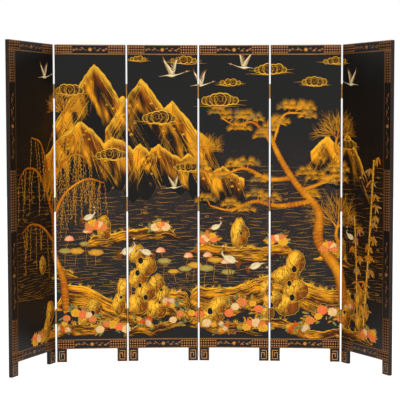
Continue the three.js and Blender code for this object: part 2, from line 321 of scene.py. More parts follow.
class Relief:
    """Shapes of paint before they are laid on a board, in batches of like shapes."""

    def __init__(self):
        self.batches = []

    def add(self, points, faces, shades):
        """points (n, v, 3), faces (f, 3) within one shape, shades (n, v, 4)."""
        self.batches.append((points, faces, np.broadcast_to(shades, points.shape[:2] + (4,))))

    def lines(self, line, half, base, height, crest, rim, section=FINE):
        """Paint lines. At each station of a line (n, m, 2) the section stands across the line's direction: a point of
        it lies offset times half a width to the side, and lift times the ridge height over base, or a sink under
        it."""
        line = np.asarray(line, float)
        n, m = line.shape[:2]
        _, across = directions(line)
        offset, lift, share = section.T
        half, height, base = (np.broadcast_to(np.asarray(v, float), (n, m)) for v in (half, height, base))
        flat = line[:, :, None] + across[:, :, None] * (half[..., None] * offset)[..., None]
        w = base[..., None] + np.where(lift < 0, lift * SINK, lift * height[..., None])
        crest, rim = (np.broadcast_to(v, (n, m, 4))[:, :, None] for v in (crest, rim))
        shades = crest * share[:, None] + rim * (1 - share[:, None])
        points = np.concatenate([flat, w[..., None]], -1)
        k = len(section)
        self.add(points.reshape(n, m * k, 3), sweep_faces(m, k), shades.reshape(n, m * k, 4))

    def patches(self, middle, outline, base, height, core, rim, rings=PETAL_RINGS):
        """Domed patches of paint. A ring is the outline (n, s, 2), given round its middle (n, 2), drawn in to its
        share and lifted by its lift times height; the colour goes from core at the middle to rim at the outline."""
        middle, outline = np.asarray(middle, float), np.asarray(outline, float)
        n, s = outline.shape[:2]
        share, lift, tone = np.array(rings, float).T
        base, height = (np.broadcast_to(np.asarray(v, float), (n,)) for v in (base, height))
        ring = middle[:, None, None] + outline[:, None] * share[:, None, None]
        w = base[:, None] + np.where(lift < 0, lift * SINK, lift * height[:, None])
        ring = np.concatenate([ring, np.broadcast_to(w[:, :, None, None], ring.shape[:3] + (1,))], -1)
        top = np.concatenate([middle, (base + height)[:, None]], 1)[:, None]
        foot = np.concatenate([middle, (base - SINK)[:, None]], 1)[:, None]
        core, rim = (np.broadcast_to(v, (n, s, 4))[:, None] for v in (core, rim))
        shades = (core * tone[:, None, None] + rim * (1 - tone[:, None, None])).reshape(n, -1, 4)
        pole = core[:, 0].mean(1, keepdims=True)
        points = np.concatenate([top, ring.reshape(n, -1, 3), foot], 1)
        self.add(points, patch_faces(len(rings), s), np.concatenate([pole, shades, pole], 1))

    def disc(self, spot, segments, radius, base, height, core, rim, rings=PETAL_RINGS):
        """One round patch on a spot."""
        self.patches(np.array([spot], float), ring_of(1, segments, radius), base, height, core, rim, rings)

    def slab(self, x, upper, lower, rows, base, lift, shade):
        """A field of paint between two edges: the point in row t and column x lies at height upper(1 - t) + lower t,
        lifted by base + lift(x, z), in the colour shade(x, z, t)."""
        t = np.linspace(0, 1, rows)[:, None] ** 1.2
        z = upper[None] * (1 - t) + lower[None] * t
        xs = np.broadcast_to(x[None], z.shape)
        t = np.broadcast_to(t, z.shape)
        w = base + lift(xs, z)
        top = np.stack([xs, z, w], -1).reshape(-1, 3)
        foot = np.stack([xs, z, np.full_like(z, base - SINK)], -1).reshape(-1, 3)
        tint = shade(xs, z, t).reshape(-1, 4)
        self.add(np.concatenate([top, foot])[None], slab_faces(rows, len(x)), np.concatenate([tint, tint])[None])

    def moved(self, along, tint):
        """The same relief so many millimetres farther along, its colours multiplied by the tint."""
        other = Relief()
        other.batches = [(p + [along, 0, 0], f, c * tint) for p, f, c in self.batches]
        return other

    def lay(self, board, name, window):
        """Makes one object of all that falls in the window (x0, x1, z0, z1): points beyond it are drawn back to its
        edge, faces wholly beyond it or without area are dropped, and the rest is put on the board's face."""
        x0, x1, z0, z1 = window
        points, faces, shades, count = [], [], [], 0
        for p, f, c in self.batches:
            (left, low), (right, high) = p[..., :2].min(1).T, p[..., :2].max(1).T
            hit = (right > x0 + OVERLAP) & (left < x1 - OVERLAP) & (high > z0 + OVERLAP) & (low < z1 - OVERLAP)
            p, c = p[hit], c[hit]
            n, v = p.shape[:2]
            if n:
                points.append(p.reshape(-1, 3))
                shades.append(c.reshape(-1, 4))
                faces.append((f[None] + (np.arange(n) * v)[:, None, None]).reshape(-1, 3) + count)
                count += n * v
        if not count:
            return
        p, f, c = np.concatenate(points), np.concatenate(faces), np.concatenate(shades)
        beyond = np.stack([p[:, 0] < x0, p[:, 0] > x1, p[:, 1] < z0, p[:, 1] > z1], 1)
        f = f[~beyond[f].all(1).any(1)]
        p = np.stack([p[:, 0].clip(x0, x1), p[:, 1].clip(z0, z1), p[:, 2]], 1)
        area = np.linalg.norm(np.cross(p[f[:, 1]] - p[f[:, 0]], p[f[:, 2]] - p[f[:, 0]]), axis=1)
        f = f[area > SLIVER]
        used, f = np.unique(f, return_inverse=True)
        on_board = board.place(p[used] - [board.x, 0, 0])
        make_object(name, on_board, f.reshape(-1, 3), gilt_paint(), board.body, c[used])


def make_object(name, points, faces, material, body, shades=None):
    """An object of triangles at the origin, its points in metres, riding on a body."""
    mesh = bpy.data.meshes.new(name)
    mesh.vertices.add(len(points))
    mesh.vertices.foreach_set("co", np.ascontiguousarray(points, np.float32).ravel())
    mesh.loops.add(faces.size)
    mesh.loops.foreach_set("vertex_index", faces.astype(np.int32).ravel())
    mesh.polygons.add(len(faces))
    mesh.polygons.foreach_set("loop_start", np.arange(0, faces.size, 3, dtype=np.int32))
    mesh.update(calc_edges=True)
    if shades is not None:
        tint = mesh.color_attributes.new("Paint", "FLOAT_COLOR", "POINT")
        tint.data.foreach_set("color", np.ascontiguousarray(shades, np.float32).ravel())
    mesh.materials.append(material)
    thing = bpy.data.objects.new(name, mesh)
    bpy.context.scene.collection.objects.link(thing)
    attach(thing, body)


class Board:
    """One board, read from its CAD node: the direction along it, the way its front faces, its middle and its place in
    the picture."""

    def __init__(self, number):
        self.number, self.body = number, f"panel_{number}"
        self.node = bpy.data.objects[f"panel_{number}_board"]
        co = np.empty(len(self.node.data.vertices) * 3, np.float32)
        self.node.data.vertices.foreach_get("co", co)
        plan = co.reshape(-1, 3)[:, :2].astype(float)
        along = np.linalg.svd(plan - plan.mean(0), full_matrices=False)[2][0]
        self.along = along if along[0] > 0 else -along
        self.front = np.array([self.along[1], -self.along[0]])
        a, b = plan @ self.along, plan @ self.front
        self.half = (a.max() - a.min()) / 2 / MM
        self.face = b.max()
        self.middle = self.along * (a.max() + a.min()) / 2
        self.x = (number - 0.5) * PITCH  # picture x of the board's middle

    def place(self, p):
        """Metres in the frame for millimetres on the board: u along it from its middle, z up, w off its front."""
        u, z, w = p[:, :1] * MM, p[:, 1:2] * MM, p[:, 2:] * MM
        return np.concatenate([self.middle + self.along * u + self.front * (self.face + w), z], 1)

    def window(self):
        """The part of the picture that is painted on this board."""
        s = sizes()
        edge, wing, band = s.edge_margin / MM, s.wing_band / MM, s.band / MM
        left = self.x - self.half + (wing if self.number == 1 else edge)
        right = self.x + self.half - (wing if self.number == PANELS else edge)
        return left, right, s.foot_height / MM + band, BOARD_HEIGHT - band


@functools.cache
def boards():
    return [Board(k + 1) for k in range(PANELS)]


# ---------------------------------------------------------------- materials


def new_group(name, inputs, outputs):
    """An empty shader node group with named sockets: (name, kind, default) for inputs and (name, kind) for outputs."""
    tree = bpy.data.node_groups.new(name, "ShaderNodeTree")
    for label, kind, default in inputs:
        socket = tree.interface.new_socket(label, in_out="INPUT", socket_type=f"NodeSocket{kind}")
        if default is not None:
            socket.default_value = default
    for label, kind in outputs:
        tree.interface.new_socket(label, in_out="OUTPUT", socket_type=f"NodeSocket{kind}")
    return tree, tree.nodes.new("NodeGroupInput"), tree.nodes.new("NodeGroupOutput")


class Wiring:
    """Short ways to add and join nodes in one tree."""

    def __init__(self, tree):
        self.tree = tree

    def node(self, kind, **values):
        n = self.tree.nodes.new(kind)
        for key, value in values.items():
            setattr(n, key, value)
        return n

    def feed(self, socket, value):
        if isinstance(value, bpy.types.NodeSocket):
            self.tree.links.new(value, socket)
        else:
            socket.default_value = value

    def fill(self, n, **values):
        """Feeds a node's inputs by name, with _ for a space."""
        for key, value in values.items():
            self.feed(n.inputs[key.replace("_", " ")], value)
        return n

    def math(self, operation, a, b=0.0, clamp=False):
        n = self.node("ShaderNodeMath", operation=operation, use_clamp=clamp)
        self.feed(n.inputs[0], a)
        self.feed(n.inputs[1], b)
        return n.outputs[0]

    def band(self, value, low, high, to_low=0.0, to_high=1.0):
        n = self.node("ShaderNodeMapRange", interpolation_type="SMOOTHSTEP")
        for socket, v in zip(n.inputs, (value, low, high, to_low, to_high)):
            self.feed(socket, v)
        return n.outputs[0]

    def times(self, a, b):
        return self.math("MULTIPLY", a, b)

    def noise(self, vector, scale, detail, roughness=0.55):
        n = self.fill(self.node("ShaderNodeTexNoise"), Vector=vector, Scale=scale, Detail=detail, Roughness=roughness)
        return n.outputs["Fac"]

    def blend(self, share, a, b, how="MIX"):
        n = self.node("ShaderNodeMix", data_type="RGBA", blend_type=how)
        self.feed(n.inputs[0], share)
        self.feed(n.inputs[6], a)
        self.feed(n.inputs[7], b)
        return n.outputs[2]

    def group(self, tree, **inputs):
        return self.fill(self.node("ShaderNodeGroup", node_tree=tree), **inputs)

    def bump(self, height, strength, distance):
        n = self.fill(self.node("ShaderNodeBump"), Strength=strength, Distance=distance, Height=height)
        return n.outputs[0]

    def seen(self):
        """1 for what the camera sees, straight, mirrored or through glass, and 0 for light that falls on things."""
        path = self.node("ShaderNodeLightPath").outputs
        straight = self.math("MAXIMUM", path["Is Camera Ray"], path["Is Glossy Ray"])
        return self.math("MAXIMUM", straight, path["Is Transmission Ray"])


@functools.cache
def uneven_tone():
    """Brush-laid unevenness: a coarse and a fine noise, added, moved to 1 and scaled by Amount, as a factor for
    colour."""
    tree, i, o = new_group(
        "Uneven tone",
        [("Vector", "Vector", None), ("Coarse", "Float", 40.0), ("Fine", "Float", 600.0), ("Amount", "Float", 0.2)],
        [("Factor", "Float"), ("Height", "Float")],
    )
    w = Wiring(tree)
    coarse = w.noise(i.outputs["Vector"], i.outputs["Coarse"], 3)
    fine = w.noise(i.outputs["Vector"], i.outputs["Fine"], 2)
    both = w.math("ADD", w.times(coarse, 0.6), w.times(fine, 0.4))
    swing = w.times(w.math("SUBTRACT", both, 0.5), w.times(i.outputs["Amount"], 2.0))
    w.feed(o.inputs["Factor"], w.math("ADD", swing, 1.0))
    w.feed(o.inputs["Height"], both)
    return tree


@functools.cache
def edge_rub():
    """Wear near the long edges and ends of a board: distance to the nearest edge, broken up by noise, as a mask that
    is 1 at the edge and 0 past Reach."""
    tree, i, o = new_group(
        "Edge rub",
        [
            ("Vector", "Vector", None),
            ("Half width", "Float", 0.2),
            ("Height", "Float", BOARD_HEIGHT * MM),
            ("Reach", "Float", 0.004),
        ],
        [("Mask", "Float")],
    )
    w = Wiring(tree)
    xyz = w.node("ShaderNodeSeparateXYZ")
    w.feed(xyz.inputs[0], i.outputs["Vector"])
    side = w.math("SUBTRACT", i.outputs["Half width"], w.math("ABSOLUTE", xyz.outputs[0]))
    end = w.math("MINIMUM", w.math("SUBTRACT", i.outputs["Height"], xyz.outputs[2]), xyz.outputs[2])
    near = w.math("MINIMUM", side, end)
    ripple = w.math("SUBTRACT", w.noise(i.outputs["Vector"], 70.0, 5), 0.42)
    ragged = w.math("ADD", near, w.times(ripple, 0.016))
    w.feed(o.inputs["Mask"], w.band(ragged, i.outputs["Reach"], 0.0))
    return tree


@functools.cache
def gold_dust():
    """Gold sprinkled over lacquer: small cells, each lit when its own random value is under Density, which the noise
    of the drift makes thicker in some places than in others."""
    tree, i, o = new_group(
        "Gold dust",
        [("Vector", "Vector", None), ("Grain", "Float", 900.0), ("Density", "Float", 0.3)],
        [("Mask", "Float")],
    )
    w = Wiring(tree)
    drift = w.noise(i.outputs["Vector"], 14.0, 4, 0.6)
    cells = w.node("ShaderNodeTexVoronoi", feature="F1")
    w.feed(cells.inputs["Vector"], i.outputs["Vector"])
    w.feed(cells.inputs["Scale"], i.outputs["Grain"])
    value = w.node("ShaderNodeSeparateColor")
    w.feed(value.inputs[0], cells.outputs["Color"])
    limit = w.times(i.outputs["Density"], w.band(drift, 0.36, 0.66, 0.25, 1.7))
    lit = w.math("LESS_THAN", value.outputs[0], limit)
    speck = w.math("LESS_THAN", cells.outputs["Distance"], 0.55)
    w.feed(o.inputs["Mask"], w.times(lit, speck))
    return tree


def new_material(name):
    m = bpy.data.materials.new(name)
    m.use_nodes = True
    w = Wiring(m.node_tree)
    shader = next(n for n in m.node_tree.nodes if n.type == "BSDF_PRINCIPLED")
    coords = w.node("ShaderNodeTexCoord").outputs["Object"]
    return m, w, shader, coords


def rgba(values):
    return (*[float(v) for v in values[:3]], 1.0)


def lacquer(board):
    """Black lacquer for one board, its pattern centred and turned to the board by a Mapping node: rubbed brown at the
    edges, gold dust over the water on the front, uneven gloss and a faint ripple."""
    m, w, shader, coords = new_material(f"black_lacquer_{board.number}")
    turn = w.node("ShaderNodeMapping", vector_type="TEXTURE")
    turn.inputs["Location"].default_value = (*[float(v) for v in board.middle + board.front * board.face], 0.0)
    turn.inputs["Rotation"].default_value = (0.0, 0.0, math.atan2(board.along[1], board.along[0]))
    w.feed(turn.inputs["Vector"], coords)
    at = turn.outputs[0]
    xyz = w.node("ShaderNodeSeparateXYZ")
    w.feed(xyz.inputs[0], at)
    tone = w.group(uneven_tone(), Vector=at, Coarse=6.0, Fine=240.0, Amount=0.5)
    rub = w.group(edge_rub(), Vector=at, Half_width=board.half * MM, Height=BOARD_HEIGHT * MM, Reach=0.0022)
    wear_and_shade = rub.outputs["Mask"]
    along, depth, height = xyz.outputs
    begin, full, thin, end = DUST_METRES
    inside = w.times(w.band(height, begin, full), w.band(height, end, thin))
    x0, x1, _, _ = board.window()
    for edge, way in ((x0 - board.x, 1), (x1 - board.x, -1)):
        inside = w.times(w.band(along, edge * MM, (edge + 6 * way) * MM), inside)
    inside = w.times(w.math("GREATER_THAN", w.times(depth, -1.0), -0.003), inside)
    dust = w.group(gold_dust(), Vector=at, Grain=620.0, Density=w.times(inside, 0.035))
    black = w.blend(tone.outputs["Factor"], (0, 0, 0, 1), rgba(paint("lacquer")))
    rubbed = w.blend(w.times(wear_and_shade, 0.6), black, (0.030, 0.016, 0.010, 1))
    rough = w.math("ADD", w.times(tone.outputs["Height"], 0.14), 0.24)
    w.fill(
        shader,
        Base_Color=w.blend(dust.outputs["Mask"], rubbed, rgba(paint("gold_deep"))),
        Metallic=w.times(dust.outputs["Mask"], 0.6),
        Roughness=w.math("ADD", rough, w.times(wear_and_shade, 0.25), True),
        Specular_IOR_Level=0.20,
        Normal=w.bump(w.noise(at, 260.0, 2), 0.12, 0.0004),
    )
    return m


@functools.cache
def gilt_paint():
    """Gilding and colours: the shape's own Paint colour, unevenly laid, its fourth value giving how metallic it is."""
    m, w, shader, coords = new_material("gilt_paint")
    own = w.node("ShaderNodeAttribute", attribute_name="Paint")
    tone = w.group(uneven_tone(), Vector=coords, Coarse=55.0, Fine=900.0, Amount=0.42)
    w.fill(
        shader,
        Base_Color=w.blend(1.0, own.outputs["Color"], tone.outputs["Factor"], "MULTIPLY"),
        Metallic=w.times(own.outputs["Alpha"], 0.85),
        Roughness=w.math("ADD", w.times(tone.outputs["Height"], 0.3), 0.28),
        Normal=w.bump(tone.outputs["Height"], 0.35, 0.0005),
        Specular_IOR_Level=0.12,
    )
    return m


@functools.cache
def aged_brass():
    """Brass, unevenly toned and brushed along its length, with dull brown spots."""
    m, w, shader, coords = new_material("aged_brass")
    stretched = w.node("ShaderNodeMapping")
    stretched.inputs["Scale"].default_value = (1.0, 1.0, 0.08)
    w.feed(stretched.inputs["Vector"], coords)
    tone = w.group(uneven_tone(), Vector=coords, Coarse=120.0, Fine=900.0, Amount=0.5)
    brushed = w.noise(stretched.outputs[0], 2200.0, 2)
    spots = w.band(w.noise(coords, 340.0, 4), 0.56, 0.68)
    plain = w.blend(1.0, rgba(paint("brass")), tone.outputs["Factor"], "MULTIPLY")
    w.fill(
        shader,
        Base_Color=w.blend(w.times(spots, 0.55), plain, (0.09, 0.045, 0.018, 1)),
        Metallic=w.math("SUBTRACT", 1.0, w.times(spots, 0.4)),
        Roughness=w.math("ADD", w.times(brushed, 0.25), 0.24),
        Normal=w.bump(brushed, 0.15, 0.0002),
    )
    return m


# ---------------------------------------------------------------- screws


def screws(z, w, side, turn):
    """Slotted countersunk screws at the heights z and depths w, on the open side of a leaf. A head is a low dome cut
    by a slot with slanted walls, over a cone that narrows to the shank, and the shank runs on into the board's
    edge."""
    head, open_side = sizes().screw_head / MM, PITCH / 2 - LEAF_SIDE
    q = np.array([-0.96, -0.62, -0.19, -0.13, 0.13, 0.19, 0.62, 0.96])[:, None] * np.ones(5)
    p = np.sqrt(1 - q * q) * np.linspace(-1, 1, 5)
    slot = np.where(np.abs(q) < 0.16, -0.75, 0.0)
    top = np.stack([p * head, -q * head, 0.2 * (1 - p * p - q * q) + slot], -1).reshape(-1, 3)
    cone = np.stack([p * SHANK, -q * SHANK, np.full_like(p, -1.8)], -1).reshape(-1, 3)
    rod = [np.column_stack([ray(-full_turn(8)) * SHANK, np.full(8, h)]) for h in (-9.0, -1.7)]
    shape = np.concatenate([top, cone, *rod])
    faces = np.concatenate([slab_faces(8, 5), sweep_faces(2, 8) + len(top) + len(cone)])
    c, s = np.cos(turn)[:, None], np.sin(turn)[:, None]
    across = shape[:, 0] * c - shape[:, 1] * s, shape[:, 0] * s + shape[:, 1] * c
    u = np.broadcast_to(side * (open_side + shape[:, 2]), across[0].shape)
    points = np.stack([u, z[:, None] + across[0], w[:, None] + side * across[1]], -1)
    starts = np.arange(len(turn)) * len(shape)
    return points.reshape(-1, 3), (faces[None] + starts[:, None, None]).reshape(-1, 3)


# ---------------------------------------------------------------- copper bands


def framed(relief, x0, x1, z0, z1, width):
    """A copper outline: four flat strips, the upright ones between the level ones."""
    h = width / 2
    flat = np.array([[(x0 - h, z0), (x1 + h, z0)], [(x0 - h, z1), (x1 + h, z1)]], float)
    upright = np.array([[(x0, z0 + h), (x0, z1 - h)], [(x1, z0 + h), (x1, z1 - h)]], float)
    copper, light = coppers()
    for sides in (flat, upright):
        relief.lines(sides, h, 0.0, COPPER_LIFT, mixed(copper, light, 0.35), copper, FLAT)


def sheet(relief, a, b, width):
    """A thin flat ground of deep copper under an ornament, from a to b and so wide."""
    deep = paint("copper_deep", 0.4)
    relief.lines(np.array([[a, b]], float), width / 2, 0.0, 0.1, deep, deep, FLAT)


def fretwork(relief, x0, x1, z0, z1):
    """A square lattice on a deep copper ground, with a light bead in each cell and a thin outline."""
    columns, rows = max(1, round((x1 - x0) / FRET_CELL)), max(1, round((z1 - z0) / FRET_CELL))
    copper, light = coppers()
    sheet(relief, ((x0 + x1) / 2, z0), ((x0 + x1) / 2, z1), x1 - x0)
    x, z = np.linspace(x0, x1, columns + 1), np.linspace(z0, z1, rows + 1)
    level = np.array([[(x0, q), (x1, q)] for q in z[1:-1]]).reshape(-1, 2, 2)
    upright = np.array([[(q, z0), (q, z1)] for q in x[1:-1]]).reshape(-1, 2, 2)
    for lines, height in ((level, 0.2), (upright, 0.22)):
        relief.lines(lines, 0.7, 0.1, height, paint("umber"), paint("ink"), FINE)
    i, j = (a.ravel() for a in np.meshgrid(x[:-1] + (x[1] - x[0]) / 2, z[:-1] + (z[1] - z[0]) / 2, indexing="ij"))
    beads, rim = ring_of(len(i), 8, 4.3), mixed(copper, light, 0.6)
    relief.patches(np.stack([i, j], 1), beads, 0.12, 0.32, light, rim, LEAF_RINGS)
    framed(relief, x0, x1, z0, z1, 1.2)


def spray(relief, x, z, reach, height, seed, upright=False):
    """A cartouche's ornament: a round flower in the middle and a scrolling stem to either side, a sine of falling
    swing along its length, with leaves left and right of it in turn and close together at its tip."""
    rng = np.random.default_rng(seed)
    copper, deep = paint("copper_light", 0.5), paint("copper", 0.5)
    light = mixed(copper, gold("gold"), 0.5)
    swing = height * 0.15
    for side in (-1, 1):
        t = np.linspace(0, 1, 22)
        run = side * (height * 0.30 + t * (reach - height * 0.30))
        wave = swing * np.sin(t * 2.2 * 2 * np.pi) * (1 - 0.35 * t) * side
        path = np.stack([run, wave], 1)
        path = path[:, ::-1] if upright else path
        relief.lines((path + [x, z])[None], 0.9 * (1 - 0.5 * t)[None], 0.0, 0.35, light, deep)
        at = np.array([0.14, 0.3, 0.36, 0.42, 0.5, 0.72, 0.78, 0.84, 0.93, 0.97, 1.0])
        base = np.stack([np.interp(at, t, run), np.interp(at, t, wave)], 1)
        n = np.arange(len(at))
        lean = np.where(n % 2 == 0, 1, -1) * 0.95
        head = np.where(side > 0, 0.0, np.pi) + side * lean
        s = np.linspace(0, 1, 6)
        size = height * rng.uniform(0.18, 0.3, len(at))
        bend = head[:, None] + side * lean[:, None] * -0.6 * s
        leaf = base[:, None] + ray(bend) * (size[:, None] * s)[..., None]
        leaf = leaf[..., ::-1] if upright else leaf
        wide = size[:, None] * 0.2 * hump(s, 0.03, 0.94) ** 0.8
        tint = mixed(copper, paint("coral", 0.4), (n % 3 == 1)[:, None].astype(float))
        relief.lines(leaf + [x, z], wide, 0.0, 0.4, tint, deep, BROAD)
    r = height * 0.15
    rose = ray(full_turn(7) + 0.2) * r + [x, z]
    relief.patches(rose, ring_of(7, 9, r * 0.62), 0.0, 0.45, light, mixed(light, deep, 0.5))
    relief.disc((x, z), 12, r * 0.75, 0.1, 0.5, mixed(paint("cinnabar"), gold("gold"), 0.6), light)
    relief.disc((x, z), 8, r * 0.3, 0.5, 0.2, light, copper)


def beaded(relief, a, b, width):
    """A strip of ornament from a to b: a ground, two lines along its edges and a row of oval beads between them."""
    a, b = np.array(a, float), np.array(b, float)
    run = np.hypot(*(b - a))
    along = (b - a) / run
    across = np.array([-along[1], along[0]])
    copper, light = coppers()
    sheet(relief, a, b, width)
    lines = np.array([[a + across * s, b + across * s] for s in (-width / 2 + 0.4, width / 2 - 0.4)])
    relief.lines(lines, 0.6, 0.0, COPPER_LIFT, mixed(copper, light, 0.5), copper, FLAT)
    n = max(2, round(run / BEAD_STEP))
    spots = a + (b - a) * ((np.arange(n) + 0.5) / n)[:, None]
    t = full_turn(8)
    bead = np.outer(np.cos(t), along) * 4.4 + np.outer(np.sin(t), across) * (width / 2 - 1.3)
    relief.patches(spots, np.broadcast_to(bead, (n, 8, 2)), 0.1, 0.25, light, light, LEAF_RINGS)


def foot_fret(relief, x, side):
    """A foot's ornament: an outline all round and a squared spiral: a loop of four sides open near its upper inner
    corner, whose end hooks in and down the middle."""
    s = sizes()
    w, h = s.foot_width / MM, s.foot_height / MM
    x0, x1 = (x, x + w) if side > 0 else (x - w, x)
    framed(relief, x0 + 3.0, x1 - 3.0, 3.4, h + 3.5, 2.0)
    path = np.array([(1, 1), (0, 1), (0, 0), (1, 0), (1, 0.73), (0.42, 0.73), (0.42, 0.3)])
    path = path * [w - 2 * FOOT_INSET, h - 2 * FOOT_INSET] * [side, 1] + [x + side * FOOT_INSET, FOOT_INSET]
    sides = np.stack([path[:-1], path[1:]], 1)
    gone = sides[:, 1] - sides[:, 0]
    gone /= np.hypot(gone[:, 0], gone[:, 1])[:, None]
    half = 2.1
    sides[:, 0] -= gone * half
    sides[:, 1] += gone * half
    light = paint("copper_light", 0.5)
    for k in (0, 1):
        relief.lines(sides[k::2], half, 0.0, COPPER_LIFT + 0.02 * k, light, light, FLAT)


def bands(board):
    """All the copper ornament of one board, in the board's own millimetres."""
    r, s = Relief(), sizes()
    half, band, block = board.half, s.band / MM, s.fret_block / MM
    foot, line = s.foot_height / MM, s.copper_line / MM
    left, right = -half + BAND_INSET, half - BAND_INSET
    copper, light = coppers()
    for z_edge, up in ((BOARD_HEIGHT, -1), (foot, 1)):
        outer, inner = z_edge + up * OUTLINE_INSET, z_edge + up * (band - BAND_INSET)
        low, high = sorted((z_edge + up * 5.5, z_edge + up * (band - 6.5)))
        outline = np.array([[(left - 1, outer), (right + 1, outer)]])
        r.lines(outline, line / 2, 0.0, COPPER_LIFT, mixed(copper, light, 0.6), copper, FLAT)
        beaded(r, (left - 1, inner), (right + 1, inner), 2 * BAND_INSET)
        fretwork(r, left + 1, left + block, low, high)
        fretwork(r, right - block, right - 1, low, high)
        spray(r, 0, (low + high) / 2, (right - left) / 2 - block - 12, high - low, board.number)
    for side in (1, -1):
        foot_fret(r, -side * half, side)
    if board.number in (1, PANELS):
        side = -1 if board.number == 1 else 1
        edge, wing = side * half, s.wing_band / MM
        x0, x1 = sorted((edge - side * 6.0, edge - side * (wing - 5.5)))
        for away in (OUTLINE_INSET, wing - BAND_INSET):
            upright = np.array([[(edge - side * away, foot + band), (edge - side * away, BOARD_HEIGHT - band)]])
            r.lines(upright, 1.1, 0.0, COPPER_LIFT, copper, copper, FLAT)
        cuts = [foot + band - 2, *WING_CUTS, BOARD_HEIGHT - band + 2]
        for k, (z0, z1) in enumerate(zip(cuts, cuts[1:])):
            if k % 2 == 0:
                fretwork(r, x0, x1, z0 + 3, z1 - 3)
            else:
                spray(r, (x0 + x1) / 2, (z0 + z1) / 2, (z1 - z0) * 0.36, x1 - x0, k, True)
    return r


# ---------------------------------------------------------------- painting


def ridge_line(x, peaks, seed):
    """Height of a mountain's ridge: the highest of its peaks, each falling off on both sides by a softened slope,
    broken by rough noise."""
    z = np.full_like(x, -1e4)
    for px, pz, slope in peaks:
        z = np.maximum(z, pz - np.abs(x - px) * slope * (1 - 0.25 * np.exp(-np.abs(x - px) / 60)))
    return z + 26 * rough_noise(x / 90, x * 0, seed, 5) + 7 * rough_noise(x / 14, x * 0, seed + 3, 2)


def mountain(relief, x0, x1, peaks, depth, level, seed, fade=0.50):
    """A far mountain: gold along its ridge fading into the black ground below, in lit and shaded folds, with slanting
    drawn lines that start on the ridge and follow the fall of the rock, and small trees on its shoulders."""
    x = np.arange(x0, x1 + 1, 6.0)
    ridge = ridge_line(x, peaks, seed)
    ends = np.clip(np.minimum(x - x0, x1 - x) / 60, 0, 1) ** 0.5
    lower = ridge - depth * (0.35 + 0.65 * ends) - 30 * rough_noise(x / 60, x * 0, seed + 7)
    ground = paint("lacquer")
    slope = np.gradient(ridge, x)

    def lift(xs, z):
        return 0.10 + 0.05 * rough_noise(xs / 30, z / 30, seed)

    def shade(xs, z, t):
        fold = rough_noise(xs / 38 + z / 100, z / 130, seed + 1, 4)
        side = np.clip(slope * 0.5, -0.35, 0.35) * np.ones_like(xs)
        lit = np.clip(0.30 + 2.1 * fold + side, 0, 1)
        warm = mixed(mixed(paint("umber"), gold("gold_deep"), 0.42), gold("gold"), lit)
        warm = mixed(warm, gold("gold_light"), np.clip(1 - t * 9, 0, 1) * 0.9)
        dark = np.clip((t - fade * 0.36 - 0.55 * fold) / (fade * 0.5), 0, 1)
        return mixed(warm, ground, dark)

    relief.slab(x, ridge, lower, 18, level, lift, shade)
    rng = np.random.default_rng(seed)
    t = np.linspace(0, 1, 9)
    for count, tone, rim, wide, shift in (
        ((x1 - x0) / 5, paint("umber"), paint("ink"), 2.2, 0.0),
        ((x1 - x0) / 8, gold("gold_light"), gold("gold"), 1.3, 4.0),
    ):
        n = int(count)
        start = rng.uniform(x0 + 8, x1 - 8, n)
        fall = (np.interp(start + 12, x, ridge) - np.interp(start - 12, x, ridge)) / 24
        run = rng.uniform(0.15, 0.6, n) * depth
        drop = rng.uniform(0.01, 0.5, n) * depth
        sway = -np.sign(fall) * np.clip(np.abs(fall), 0.15, 1.1)
        px = start[:, None] + shift + (run * sway * 0.55)[:, None] * t
        px = px + 6 * rough_noise(start[:, None] / 9 + t * 2, t * 3 + start[:, None], seed)
        pz = np.interp(start, x, ridge)[:, None] - drop[:, None] - run[:, None] * t
        half = wide * hump(t, 0.12, 0.86) ** 0.7 * rng.uniform(0.5, 1.2, n)[:, None]
        relief.lines(np.stack([px, pz], -1), half, level + 0.1, 0.13, tone, rim)
    edge, half = np.stack([x, ridge], -1)[None], 1.8 + 0.9 * whole_noise(x / 20, x * 0, seed)[None]
    relief.lines(edge, half, level + 0.1, 0.18, gold("gold_light"), gold("gold"))
    n = int((x1 - x0) / 26)
    at = rng.uniform(x0 + 20, x1 - 20, n)
    spots = np.stack([at, np.interp(at, x, ridge) - rng.uniform(0, 0.4, n) * depth], 1)
    needles(relief, spots, rng.uniform(9, 17, n), level + 0.16, seed + 5)


def water(relief, z0, z1, gap, seed):
    """Moving water: rows of fine dashes, farther apart towards the top, whose height is a slow and a quick sine of x,
    with curling eddies, each a spiral flattened to half its height."""
    rng = np.random.default_rng(seed)
    width = PANELS * PITCH
    rows = z0 + (z1 - z0) * np.linspace(0, 1, round((z1 - z0) / gap)) ** 1.35
    t = np.linspace(0, 1, 14)
    start, level = [], []
    for z in rows:
        at = rng.uniform(-60, 0)
        while at < width:
            span = rng.uniform(50, 190)
            start.append((at, span))
            level.append(z)
            at += span + rng.uniform(6, 34) * (1 + 1.6 * (z - z0) / (z1 - z0))
    start, level = np.array(start), np.array(level)
    x = start[:, :1] + start[:, 1:] * t
    z = level[:, None] + 5.5 * np.sin(x / 57 + level[:, None] / 31) + 2.2 * np.sin(x / 17 + level[:, None] / 7)
    half = 0.85 * hump(t, 0.06, 0.88) * rng.uniform(0.7, 1.2, len(x))[:, None]
    relief.lines(np.stack([x, z], -1), half, 0.0, 0.22, mixed(gold("gold"), gold("gold_light"), 0.6), gold("gold"))
    n = 96
    a = np.linspace(0, 1, 16)
    r = rng.uniform(11, 21, n)[:, None] * (1 - 0.86 * a)
    turn = rng.choice([-1, 1], n)[:, None] * (1.2 + a * 8.2)
    centre = np.stack([rng.uniform(40, width - 40, n), rng.uniform(z0 + 20, z1 - 20, n)], 1)
    curl = centre[:, None] + np.stack([r * np.sin(turn), 0.55 * r * np.cos(turn)], -1)
    relief.lines(curl, 1.1 * (1 - 0.6 * a), 0.05, 0.3, gold("gold_light"), gold("gold_deep"))


